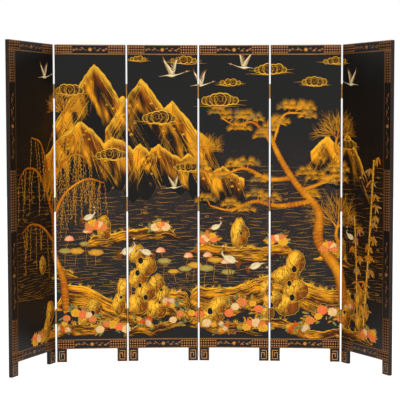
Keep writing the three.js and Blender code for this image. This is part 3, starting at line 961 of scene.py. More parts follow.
def bank(relief, x0, x1, top, depth, level, seed, tone=0.0):
    """A bank of earth and rock: gold above, shaded below and in its folds, with drawn contour lines that run along it
    and grass on its upper edge."""
    rng = np.random.default_rng(seed)
    x = np.arange(x0, x1 + 1, 6.0)
    ends = np.clip(np.minimum(x - x0, x1 - x) / 90, 0, 1)
    ends = ends * ends * (3 - 2 * ends)
    upper = top(x) * ends + (top(x) - depth * 0.8) * (1 - ends) + 9 * rough_noise(x / 40, x * 0, seed)
    lower = upper - depth * (0.2 + 0.8 * ends) + 6 * rough_noise(x / 30, x * 0, seed + 5)

    def lift(xs, z):
        return 0.16 + 0.09 * rough_noise(xs / 26, z / 16, seed + 2)

    def shade(xs, z, t):
        fold = rough_noise(xs / 60, z / 22 + xs / 200, seed + 1, 4)
        lit = np.clip(0.66 - 0.5 * t + 1.7 * fold + tone, 0, 1)
        warm = mixed(mixed(paint("umber"), gold("gold_deep"), 0.5), gold("gold"), lit)
        warm = mixed(warm, gold("gold_light"), np.clip(1 - t * 8, 0, 1) * 0.8)
        return mixed(warm, paint("ink"), np.clip(t * 1.6 - 0.55 - 1.5 * fold - tone, 0, 0.95))

    relief.slab(x, upper, lower, 16, level, lift, shade)
    s = np.linspace(0, 1, 8)
    for count, colour, rim, wide, raised in (
        ((x1 - x0) * depth / 700, paint("umber"), paint("ink"), 2.2, 0.0),
        ((x1 - x0) * depth / 1500, gold("gold_light"), gold("gold_deep"), 1.2, 3.4),
    ):
        n = int(count)
        at, span, down = rng.uniform(x0 + 10, x1 - 60, n), rng.uniform(50, 170, n), rng.uniform(0.05, 0.9, n)
        px = at[:, None] + span[:, None] * s
        hi, lo = np.interp(px, x, upper), np.interp(px, x, lower)
        pz = hi * (1 - down[:, None]) + lo * down[:, None] + raised
        pz = pz + 6 * np.sin(np.pi * s) * rng.uniform(-0.6, 1.6, n)[:, None]
        half = wide * hump(s, 0.08, 0.86) ** 0.7
        relief.lines(np.stack([px, pz], -1), half, level + 0.2, 0.13, colour, rim)
    tufts = rng.uniform(x0 + 40, x1 - 40, int((x1 - x0) / 30))
    grass(relief, np.stack([tufts, np.interp(tufts, x, upper) - 2], 1), 30, level + 0.15, seed + 11)


def grass(relief, root, size, level, seed):
    """Tufts of grass: blades that leave a root at different leans and bow outwards with the square of their length."""
    rng = np.random.default_rng(seed)
    n, blades = len(root), 9
    lean = np.linspace(-0.9, 0.9, blades)[None] + rng.uniform(-0.12, 0.12, (n, blades))
    tall = size * rng.uniform(0.6, 1.1, (n, blades)) * (1 - 0.35 * np.abs(lean))
    s = np.linspace(0, 1, 5)
    x = lean[..., None] * tall[..., None] * (0.35 * s + 0.65 * s * s)
    z = tall[..., None] * (s - 0.18 * np.abs(lean)[..., None] * s * s)
    line = (root[:, None, None] + np.stack([x, z], -1)).reshape(n * blades, 5, 2)
    shade = mixed(gold("gold_light"), paint("sage"), rng.choice([0.0, 0.7], (n * blades, 1), p=[0.7, 0.3]))
    relief.lines(line, 1.15 * (1 - 0.8 * s)[None], level, 0.3, shade, gold("gold_deep"))


def lump(relief, x, z, wide, tall, level, seed):
    """One lobe of a stone: an outline with ragged bays, lit from the upper left, drawn over with short bent lines, dark
    and bright, that stay within it, and edged with a bright line."""
    rng = np.random.default_rng(seed)
    corners = 56
    a = full_turn(corners)
    ragged = 1 + 0.30 * rough_noise(np.cos(a) * 1.5 + seed, np.sin(a) * 1.5, seed)
    ragged = ragged + 0.07 * rough_noise(a * 6, a * 0, seed)
    shape = ray(a) * [wide, tall] / 2 * ragged[:, None]
    light = 0.48 - 0.5 * np.cos(a) + 0.36 * np.sin(a) + 0.5 * rough_noise(np.cos(a) * 3, np.sin(a) * 3, seed + 2)
    core = mixed(mixed(paint("umber"), gold("gold_deep"), 0.6), gold("gold_light"), np.clip(light, 0, 1))
    rim = mixed(paint("ink"), gold("gold_deep"), np.clip(light - 0.25, 0, 1))
    middle = np.array([[x, z]])
    relief.patches(middle, shape[None], level, 0.30, core[None], rim[None], STONE_RINGS)
    s = np.linspace(0, 1, 7)
    for colour, count, wider in ((paint("umber"), 24, 2.5), (gold("gold_light"), 12, 1.3)):
        r, b = rng.uniform(0.1, 0.9, count), rng.uniform(0, 2 * np.pi, count)
        at = shape[(b / (2 * np.pi) * corners).astype(int) % corners] * r[:, None] + middle
        bend = rng.choice([-0.6, -1.2, -2.0, 1.3], count)[:, None] + rng.uniform(-1.3, 1.3, count)[:, None] * s
        span = rng.uniform(0.2, 0.55, count) * (wide + tall) / 2
        line = at[:, None] + ray(bend) * (span[:, None] * (s - 0.5))[..., None]
        reach = (line - middle) / [wide / 2, tall / 2]
        line = middle + (line - middle) / np.maximum(1, np.hypot(reach[..., 0], reach[..., 1]) / 0.8)[..., None]
        relief.lines(line, wider * hump(s, 0.1, 0.85), level + 0.27, 0.12, colour, paint("umber"))
    edge = np.concatenate([shape, shape[:1]])[None] + middle
    relief.lines(edge, 1.7, level + 0.05, 0.25, gold("gold_light"), paint("umber"))


def stone(relief, x, z, wide, tall, level, seed):
    """A weathered garden stone: lobes piled up and leaning in turn to either side, pierced by dark hollows, with moss
    on its shoulders."""
    rng = np.random.default_rng(seed)
    n = max(1, round(tall / 75))
    for k in range(n):
        share = (k + 0.5) / n
        size = wide * rng.uniform(0.62, 0.95) * (1 - 0.25 * share)
        lean = 0.14 * wide * (1 if k % 2 else -1) * (n > 1)
        lump(relief, x + lean, z + tall * share, size, tall / n * 1.55, level + 0.05 * (k % 2), seed * 7 + k)
    holes = max(1, n - 1)
    at = np.stack([x + rng.uniform(-0.18, 0.18, holes) * wide, z + tall * (np.arange(holes) + 1) / (holes + 1)], 1)
    a = full_turn(14)
    ragged = 1 + 0.25 * rough_noise(np.cos(a) * 2, np.sin(a) * 2, seed)
    bay = ray(a) * [0.8, 1] * ragged[:, None]
    size = rng.uniform(0.08, 0.14, holes)[:, None, None] * wide
    relief.patches(at, bay[None] * size, level + 0.36, 0.08, paint("ink"), gold("gold_light"), HOLE_RINGS)
    moss = np.stack([x + rng.uniform(-0.4, 0.4, 12) * wide, z + tall * rng.uniform(0.55, 1.0, 12)], 1)
    cushions = ring_of(12, 8, rng.uniform(2, 4.2, 12))
    relief.patches(moss, cushions, level + 0.3, 0.2, paint("sage"), paint("umber"), LEAF_RINGS)


def leaves(relief, root, head, size, level, colour, rim, seed, fat=0.24, bend=0.5):
    """Leaves: each a line from its root that turns by bend over its length, as wide as a sine of the way along it,
    with a finer line along its middle for the midrib."""
    rng = np.random.default_rng(seed)
    s = np.linspace(0, 1, 6)
    turn = head[:, None] + bend * rng.uniform(-1, 1, len(root))[:, None] * s
    line = bowed(root, turn, size)
    relief.lines(line, size[:, None] * fat * hump(s, 0.04, 0.93) ** 0.85, level, 0.26, colour, rim, BROAD)
    relief.lines(line[:, ::2], 0.75, level + 0.2, 0.16, rim, rim)


def peony(relief, x, z, size, level, seed, hues):
    """A full flower: three rounds of scalloped petals, each round smaller and higher than the last, and a heart of
    stamens. A petal's outline is a circle with five shallow scallops, wider on its outer side, and its colour is
    palest at its outer edge."""
    rng = np.random.default_rng(seed)
    a = full_turn(12)
    deep, pale = hues
    for k, (count, out, big) in enumerate(((9, 0.60, 0.44), (7, 0.36, 0.36), (5, 0.16, 0.26))):
        way = full_turn(count) + rng.uniform(0, 1)
        middle = [x, z] + ray(way) * size * out * [1, 0.8]
        turned = a[None] - way[:, None]
        r = size * big * (1 + 0.07 * np.cos(5 * turned) + 0.12 * np.cos(turned)) * rng.uniform(0.88, 1.1, (count, 1))
        outline = ray(a) * r[..., None] * [1, 0.9]
        core = mixed(deep, pale, np.clip(0.5 + 0.55 * np.cos(turned), 0, 1))
        lift = level + 0.05 * k + 0.02 * (np.arange(count) % 2)
        relief.patches(middle, outline, lift, 0.20, core, mixed(deep, paint("umber"), 0.35))
    dots = [x, z] + ray(rng.uniform(0, 2 * np.pi, 9)) * size * [0.10, 0.08]
    relief.patches(dots, ring_of(9, 6, size * 0.04), level + 0.3, 0.14, gold("gold_light"), gold("gold"), LEAF_RINGS)


def peony_bush(relief, x, z, size, level, seed):
    """A bush: flowers over a bed of leaves, the leaves spread evenly over a flattened half disc and the flowers at
    even angles round it."""
    rng = np.random.default_rng(seed)
    hues = [
        (paint("cinnabar"), paint("coral")),
        (gold("gold_deep"), gold("gold_light")),
        (gold("gold_deep"), paint("coral")),
        (gold("gold"), paint("cream")),
    ]
    n, flowers = 46, 5
    way = rng.uniform(0.0, np.pi, n)
    far = np.sqrt(rng.uniform(0.02, 1, n)) * size
    root = [x, z] + ray(way) * far[:, None] * [1.15, 0.85]
    head = way + rng.uniform(-0.9, 0.9, n)
    tint = mixed(paint("sage"), gold("gold"), rng.choice([0.0, 0.55, 1.0], n)[:, None])
    leaves(relief, root, head, rng.uniform(22, 40, n), level, tint, paint("umber"), seed)
    for k in range(flowers):
        way = np.pi * (k + 0.5) / flowers + rng.uniform(-0.15, 0.15)
        far = size * rng.uniform(0.5, 0.95)
        px, pz = x + np.cos(way) * far * 1.1, z + np.sin(way) * far * 0.85
        peony(relief, px, pz, rng.uniform(21, 31), level + 0.25, seed + k, hues[(k + seed) % 4])


def chrysanthemums(relief, x, z, spread, level, seed):
    """Flowers of many narrow petals that leave the middle in three rounds, each round shorter and laid over the one
    before, above a bed of narrow leaves."""
    rng = np.random.default_rng(seed)
    for k in range(6):
        cx, cz = x + rng.uniform(-1, 1) * spread, z + rng.uniform(0.0, 0.8) * spread
        size = rng.uniform(17, 26)
        outer = (gold("gold_light"), paint("cream"), paint("cinnabar"))[k % 3]
        for j, (petals, reach) in enumerate(((20, 1.0), (15, 0.72), (10, 0.42))):
            way = full_turn(petals) + 0.3 * j
            s = np.linspace(0.12, 1, 4)
            line = (ray(way) * [1, 0.9])[:, None] * s[:, None] * size * reach + [cx, cz]
            wide = size * 0.085 * np.array([0.5, 1.0, 1.0, 0.35])[None]
            relief.lines(line, wide, level + 0.12 + 0.06 * j, 0.16, outer, gold("gold_deep"))
        relief.disc((cx, cz), 8, size * 0.16, level + 0.3, 0.18, gold("gold"), paint("umber"))
    n = 26
    root = np.stack([x + rng.uniform(-1.2, 1.2, n) * spread, z + rng.uniform(-0.4, 0.7, n) * spread], 1)
    tint = mixed(paint("sage"), gold("gold_deep"), rng.choice([0.0, 1.0], n)[:, None])
    head, size = rng.uniform(0.3, 2.8, n), rng.uniform(18, 30, n)
    leaves(relief, root, head, size, level - 0.05, tint, paint("umber"), seed, 0.28)


def bark(relief, line, half, level, seed):
    """Scaly bark on a trunk: short arcs across it, each bowed along the trunk and with a dark line under it, scattered
    over its length and width."""
    rng = np.random.default_rng(seed)
    m = len(line)
    n = m * 5
    at = rng.uniform(0.02, 0.97, n) * (m - 1)
    i = at.astype(int)
    ahead, across = directions(line)
    side = rng.uniform(-0.7, 0.7, n)
    big = half[i] * rng.uniform(0.22, 0.42, n)
    a = np.linspace(-1.3, 1.3, 6)
    arc = line[i][:, None] + across[i][:, None] * ((side * half[i])[:, None] + np.sin(a) * big[:, None])[..., None]
    arc = arc + ahead[i][:, None] * (np.cos(a) * big[:, None])[..., None]
    relief.lines(arc, 1.0, level + 0.2, 0.14, gold("gold_light"), gold("gold_deep"))
    relief.lines(arc - [0, 2.2], 0.8, level + 0.2, 0.12, paint("umber"), paint("umber"))


def limb(relief, knots, width, level, seed, taper, scales=True):
    """A trunk or limb: a smooth curve through its knots, thick at its root and thin at its tip, with knobs where noise
    makes it swell."""
    line, t = smooth_curve(knots, 9)
    s = t / t[-1]
    half = width / 2 * (1 - (1 - taper) * s) * (1 + 0.16 * rough_noise(t * 1.7, t * 0, seed))
    shadow = mixed(paint("umber"), gold("gold_deep"), 0.35)
    body = mixed(gold("gold_deep"), gold("gold"), np.clip(0.4 + rough_noise(t * 2.3, t * 0, seed + 4), 0, 1))
    relief.lines(line[None], half[None], level, 0.34, body[None], shadow, ROUND)
    if scales and width > 9:
        bark(relief, line, half, level + 0.05, seed)
    return line


def needles(relief, spot, size, level, seed, turn=0.0):
    """Fans of pine needles: straight fine lines that leave one point over a little more than a half turn, the middle
    ones longest."""
    rng = np.random.default_rng(seed)
    n, blades = len(spot), 15
    way = np.linspace(-0.18, np.pi + 0.18, blades)[None] + rng.uniform(-0.06, 0.06, (n, blades))
    way = way + np.asarray(turn).reshape(-1, 1)
    reach = np.broadcast_to(size, (n,))[:, None] * (0.72 + 0.28 * np.sin(np.linspace(0, np.pi, blades)))
    reach = reach * rng.uniform(0.85, 1.08, (n, blades))
    s = np.array([0.04, 0.55, 1.0])
    line = spot[:, None, None] + ray(way)[:, :, None] * (reach[..., None] * s)[..., None]
    shade = mixed(gold("gold"), gold("gold_light"), rng.uniform(0, 1, n * blades)[:, None])
    green = (rng.random(n) < 0.22).repeat(blades)[:, None].astype(float)
    shade = mixed(shade, mixed(paint("sage"), gold("gold"), 0.35), green)
    relief.lines(line.reshape(n * blades, 3, 2), np.array([1.2, 1.4, 0.3])[None], level, 0.28, shade, gold("gold_deep"))


def fan_tree(relief, x, z, size, level, seed):
    """A bare old tree: a short trunk with three arms, and long fine twigs that leave its crown over a little less than
    a half turn, each bowing to one side and sending off two lesser ones half way along."""
    rng = np.random.default_rng(seed)
    trunk = [(x + 0.12 * size, z - 0.6 * size), (x - 0.03 * size, z - 0.3 * size), (x, z)]
    limb(relief, trunk, 0.13 * size, level, seed, 0.6)
    for lean in (-0.5, 0.1, 0.55):
        tip = (x + lean * 0.5 * size, z + 0.34 * size)
        arm = [(x, z - 0.06 * size), (x + lean * 0.3 * size, z + 0.16 * size), tip]
        limb(relief, arm, 0.055 * size, level, seed + 1, 0.3, False)
    s = np.linspace(0, 1, 8)

    def twigs(root, way, reach, half):
        turn = way[:, None] + rng.uniform(-0.5, 0.5, (len(way), 1)) * s
        line = root[:, None] + np.cumsum(ray(turn) * (reach[:, None] / 8)[..., None], 1)
        tint = mixed(gold("gold"), gold("gold_light"), rng.uniform(0, 1, len(way))[:, None])
        relief.lines(line, half * (1 - 0.8 * s), level + 0.06, 0.26, tint, gold("gold_deep"))
        return line

    n = 46
    way = np.linspace(0.12, np.pi - 0.12, n) + rng.uniform(-0.08, 0.08, n)
    root = [x, z] + ray(way) * (rng.uniform(0.02, 0.3, n) * size)[:, None]
    main = twigs(root, way, rng.uniform(0.55, 0.85, n) * size, 1.7)
    for side in (-1, 1):
        twigs(main[:, 3], way + side * rng.uniform(0.3, 0.7, n), rng.uniform(0.25, 0.45, n) * size, 1.3)


def needle_pad(relief, x, z, wide, level, seed):
    """A cloud-like pad of needle fans: a long low heap, its fans in rows that grow shorter upwards."""
    rng = np.random.default_rng(seed)
    spots = []
    for row, share in enumerate((1.0, 0.62)):
        n = max(2, int(wide * share / 33))
        at = (np.arange(n) + 0.5) / n - 0.5
        spots.append(np.stack([x + at * wide * share + rng.uniform(-4, 4, n), z + row * 24 + rng.uniform(-4, 4, n)], 1))
    spots = np.concatenate(spots)
    lean = -(spots[:, 0] - x) / wide
    needles(relief, spots, rng.uniform(28, 40, len(spots)), level, seed, lean)


def pine(relief, level):
    """The large old pine: a leaning trunk, five limbs and their twigs, with needle pads on every twig's end and on the
    trunk's."""
    knots = [(2085, 330), (2045, 520), (1930, 700), (1925, 880), (1800, 1030), (1700, 1190), (1640, 1330)]
    trunk = limb(relief, knots, 74, level, 21, 0.34)
    arms = [
        ([trunk[30], (1700, 905), (1560, 930), (1420, 880), (1300, 905)], 34),
        ([trunk[38], (1640, 1060), (1500, 1120), (1370, 1085), (1240, 1120)], 30),
        ([trunk[34], (1950, 1040), (2010, 1080), (2060, 1070)], 24),
        ([trunk[48], (1560, 1380), (1450, 1370), (1370, 1410)], 22),
        ([trunk[50], (1720, 1420), (1800, 1440), (1880, 1430)], 20),
    ]
    seed = 60
    for knots, width in arms:
        line = limb(relief, knots, width, level - 0.02, seed, 0.3)
        for q in np.linspace(0.32, 1.0, 5):
            at = line[int(q * (len(line) - 1))]
            seed += 1
            side = 1 if seed % 3 else -1
            tip = at + [(seed % 5 - 2) * 12, side * 26 + 8]
            limb(relief, [at, (at + tip) / 2 + [5, 2], tip], 8, level - 0.03, seed, 0.4, False)
            needle_pad(relief, tip[0], tip[1] - 6, 105 + 14 * (seed % 4), level + 0.08, seed)
    for k, (x, z) in enumerate([(1640, 1340), (1600, 1300), (1690, 1370), (1890, 960), (1850, 1090)]):
        needle_pad(relief, x, z, 100, level + 0.08, 90 + k)


def willow(relief, level):
    """A willow on the left: a trunk, arching boughs and long strands that hang from them, each strand a line that falls
    nearly straight after a short bow, with narrow leaves set along it."""
    rng = np.random.default_rng(5)
    limb(relief, [(470, 300), (455, 480), (400, 640), (395, 830), (330, 1000)], 50, level, 31, 0.4)
    boughs = [
        [(395, 830), (470, 980), (590, 1060), (690, 1040)],
        [(360, 940), (430, 1120), (520, 1200), (600, 1180)],
        [(330, 1000), (250, 1110), (150, 1130), (90, 1080)],
        [(340, 980), (330, 1150), (280, 1270), (200, 1300)],
        [(345, 990), (400, 1200), (450, 1290), (520, 1310)],
        [(400, 700), (300, 790), (190, 820), (110, 780)],
    ]
    for k, knots in enumerate(boughs):
        line = limb(relief, knots, 20, level - 0.02, 40 + k, 0.3, False)
        n = 26 if knots[-1][0] > 430 else 8
        at = line[(np.linspace(0.25, 1, n) * (len(line) - 1)).astype(int)] + rng.uniform(-5, 5, (n, 2))
        fall = rng.uniform(110, 270, n)
        s = np.linspace(0, 1, 10)
        way = rng.choice([-1, 1], n)
        x = at[:, :1] + way[:, None] * rng.uniform(8, 26, n)[:, None] * (1 - (1 - s) ** 2.2)
        x = x + 3 * np.sin(s * 7 + at[:, :1])
        z = at[:, 1:] + 10 * np.sin(np.pi * np.clip(s * 3, 0, 1)) - fall[:, None] * s**1.15
        strand, half = np.stack([x, z], -1), 0.9 * (1 - 0.5 * s)
        relief.lines(strand, half, level + 0.05, 0.22, gold("gold"), gold("gold_deep"))
        q = np.linspace(0.16, 1, 11)
        root = np.stack([np.stack([np.interp(q, s, row) for row in rows]).ravel() for rows in (x, z)], 1)
        count = len(root)
        head = -np.pi / 2 + np.where(np.arange(count) % 2 == 0, 1, -1) * rng.uniform(0.25, 0.6, count)
        tint = mixed(gold("gold_light"), paint("sage"), rng.choice([0.0, 0.6], count, p=[0.75, 0.25])[:, None])
        long = rng.uniform(11, 17, count)
        leaf = root[:, None] + ray(head)[:, None] * (long[:, None] * np.linspace(0, 1, 4))[..., None]
        half = long[:, None] * 0.11 * np.array([0.4, 1, 0.8, 0.1])
        relief.lines(leaf, half, level + 0.08, 0.2, tint, gold("gold_deep"))


def bamboo(relief, stalks, level, seed):
    """Bamboo: leaning stalks, a little bowed and cut into joints by narrow gaps, with bunches of long leaves that fan
    downwards."""
    rng = np.random.default_rng(seed)
    for x0, z0, x1, z1, wide in stalks:
        n = max(4, int(np.hypot(x1 - x0, z1 - z0) / 62))
        q = np.linspace(0, 1, n + 1)
        pts = np.stack([x0 + (x1 - x0) * q + 5 * np.sin(q * 3), z0 + (z1 - z0) * q], 1)
        gap = (pts[1:] - pts[:-1]) * 0.025
        ends = np.stack([pts[:-1] + gap, pts[1:] - gap], 1)
        line = ends[:, :1] + (ends[:, 1:] - ends[:, :1]) * np.linspace(0, 1, 6)[None, :, None]
        half = wide / 2 * np.array([1.15, 0.95, 0.9, 0.9, 0.95, 1.15])[None]
        relief.lines(line, half, level, 0.3, gold("gold_light"), mixed(gold("gold_deep"), paint("sage"), 0.3), BROAD)
        for p in pts[1:]:
            k = rng.integers(5, 9)
            root = p + rng.uniform(-6, 6, (k, 2)) + [rng.choice([-1, 1]) * rng.uniform(8, 46), rng.uniform(-10, 30)]
            tint = mixed(gold("gold"), paint("sage"), rng.choice([0.0, 0.75], k)[:, None])
            twig = np.stack([p[None], root[:1]], 1)
            relief.lines(twig, 0.9, level, 0.25, gold("gold"), gold("gold_deep"))
            head, size = -np.pi / 2 + rng.uniform(-1.25, 1.25, k), rng.uniform(34, 56, k)
            leaves(relief, root, head, size, level + 0.1, tint, gold("gold_deep"), seed, 0.12, 0.4)


def plume(relief, root, head, long, wide, level, colour, rim, bend):
    """Feathers: lines from their roots that turn by bend, widest about the middle and round at the tip."""
    line = bowed(root, head[:, None] + bend * np.linspace(0, 1, 6), long)
    relief.lines(line, wide * np.array([0.5, 0.9, 1.0, 1.0, 0.85, 0.3])[None], level, 0.22, colour, rim, BROAD)


def crane_standing(relief, x, z, size, level, side, low):
    """A wading crane: an oval body, feathers laid over it and drooping dark behind, a bent neck, a head with a red
    crown and two thin legs. size is its height, side the way it faces, and low says that its neck is bent down."""
    u = size / 100
    cream, ink, umber = paint("cream"), paint("ink"), paint("umber")
    body = np.array([[x, z + 50 * u]])
    a = full_turn(20)
    oval = np.stack([np.cos(a) * 21 * u * (1 + 0.15 * np.cos(a)), np.sin(a) * 12 * u], -1)
    tilt = 0.35
    oval = oval @ np.array([[math.cos(tilt), math.sin(tilt)], [-math.sin(tilt), math.cos(tilt)]]) * [side, 1]
    if side < 0:
        oval = oval[::-1]
    for dx in (-3, 5):
        leg = np.array([(x + dx * u * side, z + 42 * u), (x + (dx + 2) * u * side, z + 20 * u), (x + dx * u * side, z)])
        relief.lines(leg[None], 0.95 * u + 0.3, level - 0.05, 0.25, umber + [0.1, 0.05, 0.02, 0], umber)
    tail = np.array([[x - 14 * u * side, z + (46 + k) * u] for k in (-2, 1, 4, 7)])
    heads = np.array([-0.9, -0.7, -0.5, -0.3])
    heads = heads if side < 0 else -np.pi - heads
    dark = mixed(ink, umber, 0.6)
    plume(relief, tail, heads, np.full(4, 26 * u), 3.0 * u, level, dark, gold("gold_deep"), 0.5 * side)
    relief.patches(body, oval[None], level + 0.05, 0.3, cream, mixed(cream, umber, 0.45))
    n = 7
    root = np.stack([x + side * np.linspace(10, -6, n) * u, z + np.linspace(58, 51, n) * u], 1)
    way = np.full(n, -2.75) if side > 0 else np.full(n, -0.39)
    plume(relief, root, way, np.full(n, 20 * u), 2.1 * u, level + 0.27, cream, umber, 0.2 * side)
    if low:
        neck, beak = ((17, 56), (27, 60), (38, 58), (44, 46)), (7, -10)
    else:
        neck, beak = ((17, 56), (27, 70), (21, 82), (24, 92)), (12, -2)
    line, _ = smooth_curve([(x + out * u * side, z + up * u) for out, up in neck], 6)
    head = line[-1]
    wide = np.linspace(4.2, 2.0, len(line))[None] * u
    tone = mixed(cream, mixed(ink, umber, 0.7), np.clip(np.linspace(-0.6, 1.6, len(line)), 0, 1))[None]
    relief.lines(line[None], wide, level + 0.1, 0.28, tone, umber, BROAD)
    red = paint("cinnabar")
    relief.disc(head, 10, 4.2 * u, level + 0.2, 0.28, cream, umber)
    relief.disc(head + [-0.5 * u * side, 2.2 * u], 8, 2.2 * u, level + 0.4, 0.16, red, red, LEAF_RINGS)
    line = np.stack([head, head + [beak[0] * u * side, beak[1] * u]])[None]
    relief.lines(line, np.array([[1.6, 0.4]]) * u, level + 0.3, 0.18, gold("gold_light"), umber)


def crane_flying(relief, x, z, size, level, side):
    """A crane on the wing: a long body, neck stretched ahead and legs behind, and two raised wings, each an arm with a
    row of feathers that trail behind it at its root, point along it at its end and are dark there. size is its
    length, side the way it flies."""
    u = size / 100
    cream, ink, umber = paint("cream"), paint("ink"), paint("umber")
    dark = mixed(ink, umber, 0.8)
    spine = np.array([(x + out * side * u, z + up * u) for out, up in ((-48, -4), (-20, 0), (0, 0), (22, 5), (46, 14))])
    line, _ = smooth_curve(spine, 6)
    q = np.linspace(0, 1, len(line))
    wide = (1.0 + 6.0 * np.exp(-(((q - 0.42) / 0.15) ** 2)) + 0.6 * (q > 0.5)) * u
    tone = mixed(cream, mixed(dark, gold("gold_deep"), 0.5), np.clip(np.abs(q - 0.45) * 3.4 - 0.9, 0, 1))[None]
    pale = mixed(cream, gold("gold"), 0.35)
    for arm, n, reach, up in ((1.05, 9, 38, 0.0), (1.85, 12, 46, 0.1)):
        k = np.linspace(0, 1, n)
        bone = arm + 0.35 * k
        root = np.stack([x + side * (2 + np.cos(bone) * reach * k) * u, z + (3 + np.sin(bone) * reach * k) * u], 1)
        way = 3.05 - (2.85 - arm) * k**1.6
        way = way if side > 0 else np.pi - way
        long = (17 + 13 * k) * u
        tips = mixed(pale, mixed(dark, gold("gold_deep"), 0.4), k[:, None] * np.array([0, 0.1, 0.4, 0.8, 1.0, 1.0]))
        plume(relief, root, way, long, 2.3 * u, level + up, tips, umber, -0.2 * side)
        plume(relief, root, way, long * 0.45, 2.0 * u, level + up + 0.1, cream, mixed(cream, umber, 0.5), -0.1 * side)
    relief.lines(line[None], wide[None], level + 0.2, 0.3, tone, umber, BROAD)
    head, red = spine[-1], paint("cinnabar")
    relief.disc(head, 10, 3.2 * u, level + 0.25, 0.25, cream, umber)
    relief.disc(head + [0, 1.8 * u], 8, 1.9 * u, level + 0.42, 0.15, red, red, LEAF_RINGS)
    beak = np.stack([head, head + [13 * side * u, 2 * u]])[None]
    relief.lines(beak, np.array([[1.3, 0.3]]) * u, level + 0.3, 0.18, gold("gold_light"), umber)


def cloud(relief, x, z, wide, tall, level, seed):
    """A drifting cloud: a row of round lobes, tallest in the middle, each nearly black inside a bright rim with a
    scroll wound in it, over long trailing lines that taper to either side."""
    rng = np.random.default_rng(seed)
    s = np.linspace(0, 1, 22)
    trails = np.arange(5)
    reach = wide * rng.uniform(0.75, 1.1, 5)
    px = x + (s[None] - 0.5) * reach[:, None] + rng.uniform(-0.12, 0.12, 5)[:, None] * wide
    pz = z + (trails[:, None] - 2.6) * tall * 0.11 + 3.0 * np.sin(s[None] * 9 + trails[:, None])
    light, deep = gold("gold_light"), gold("gold_deep")
    relief.lines(np.stack([px, pz], -1), 1.9 * hump(s, 0.04, 0.92), level, 0.2, light, deep)
    n = max(4, int(wide / 38))
    order = np.argsort(-np.abs(np.arange(n) - (n - 1) / 2))
    for rank, k in enumerate(order):
        share = (k + 0.5) / n
        r = tall * (0.2 + 0.3 * np.sin(np.pi * share)) * rng.uniform(0.85, 1.1)
        cx, cz = x + (share - 0.5) * wide * 0.74, z + r * 0.35 + rng.uniform(-2, 4)
        up = level + 0.03 + 0.02 * rank
        relief.disc((cx, cz), 22, r, up, 0.14, mixed(paint("ink"), paint("umber"), 0.7), light, CLOUD_RINGS)
        wind = np.linspace(0, 1, 18)
        turn = (-1 if k < n / 2 else 1) * (wind * 8.4 + 0.5)
        spiral = r * 0.72 * (1 - 0.82 * wind)
        line = np.stack([cx + spiral * np.sin(turn), cz - spiral * np.cos(turn)], -1)[None]
        relief.lines(line, 1.5 * (1 - 0.4 * wind)[None], up + 0.12, 0.16, light, deep)


def lotus(relief, x, z, level, seed, count):
    """Lotus: round leaves seen aslant with veins from their middles, and pointed flowers on straight stems."""
    rng = np.random.default_rng(seed)
    a = full_turn(28)
    for k in range(count):
        cx, cz = x + (k - count / 2 + 0.5) * 62 + rng.uniform(-12, 12), z + rng.uniform(0, 80)
        wide = rng.uniform(34, 52)
        root = np.array([(cx + rng.uniform(-14, 14), z - 60), (cx, cz)])[None]
        relief.lines(root, 1.3, level - 0.05, 0.2, gold("gold"), gold("gold_deep"))
        r = 1 + 0.06 * np.sin(a * 6 + k)
        shape = np.stack([np.cos(a) * wide * r, np.sin(a) * wide * 0.42 * r], -1)
        tint = mixed(paint("sage"), gold("gold"), 0.25 + 0.5 * (k % 2))
        up = 0.03 * (k % 3)
        relief.patches([[cx, cz]], shape[None], level + up, 0.24, tint, paint("umber"), STONE_RINGS)
        veins = np.stack([shape[::2] * 0.12, shape[::2] * 0.9], 1) + [cx, cz]
        relief.lines(veins, [[1.1, 0.5]], level + 0.2 + up, 0.12, gold("gold_light"), gold("gold_deep"))
        if k % 2 == 0:
            fx, fz = cx + rng.uniform(-24, 24), cz + rng.uniform(46, 78)
            relief.lines(np.array([[(cx, cz), (fx, fz)]]), 1.3, level, 0.25, gold("gold"), gold("gold_deep"))
            way = np.linspace(0.15, np.pi - 0.15, 9)
            root = np.tile([[fx, fz - 6.0]], (9, 1))
            tint = mixed(paint("coral"), paint("cream"), np.linspace(0.2, 0.9, 9))
            plume(relief, root, way, np.full(9, 29.0), 5.2, level + 0.16, tint[:, None], paint("cinnabar"), 0.0)


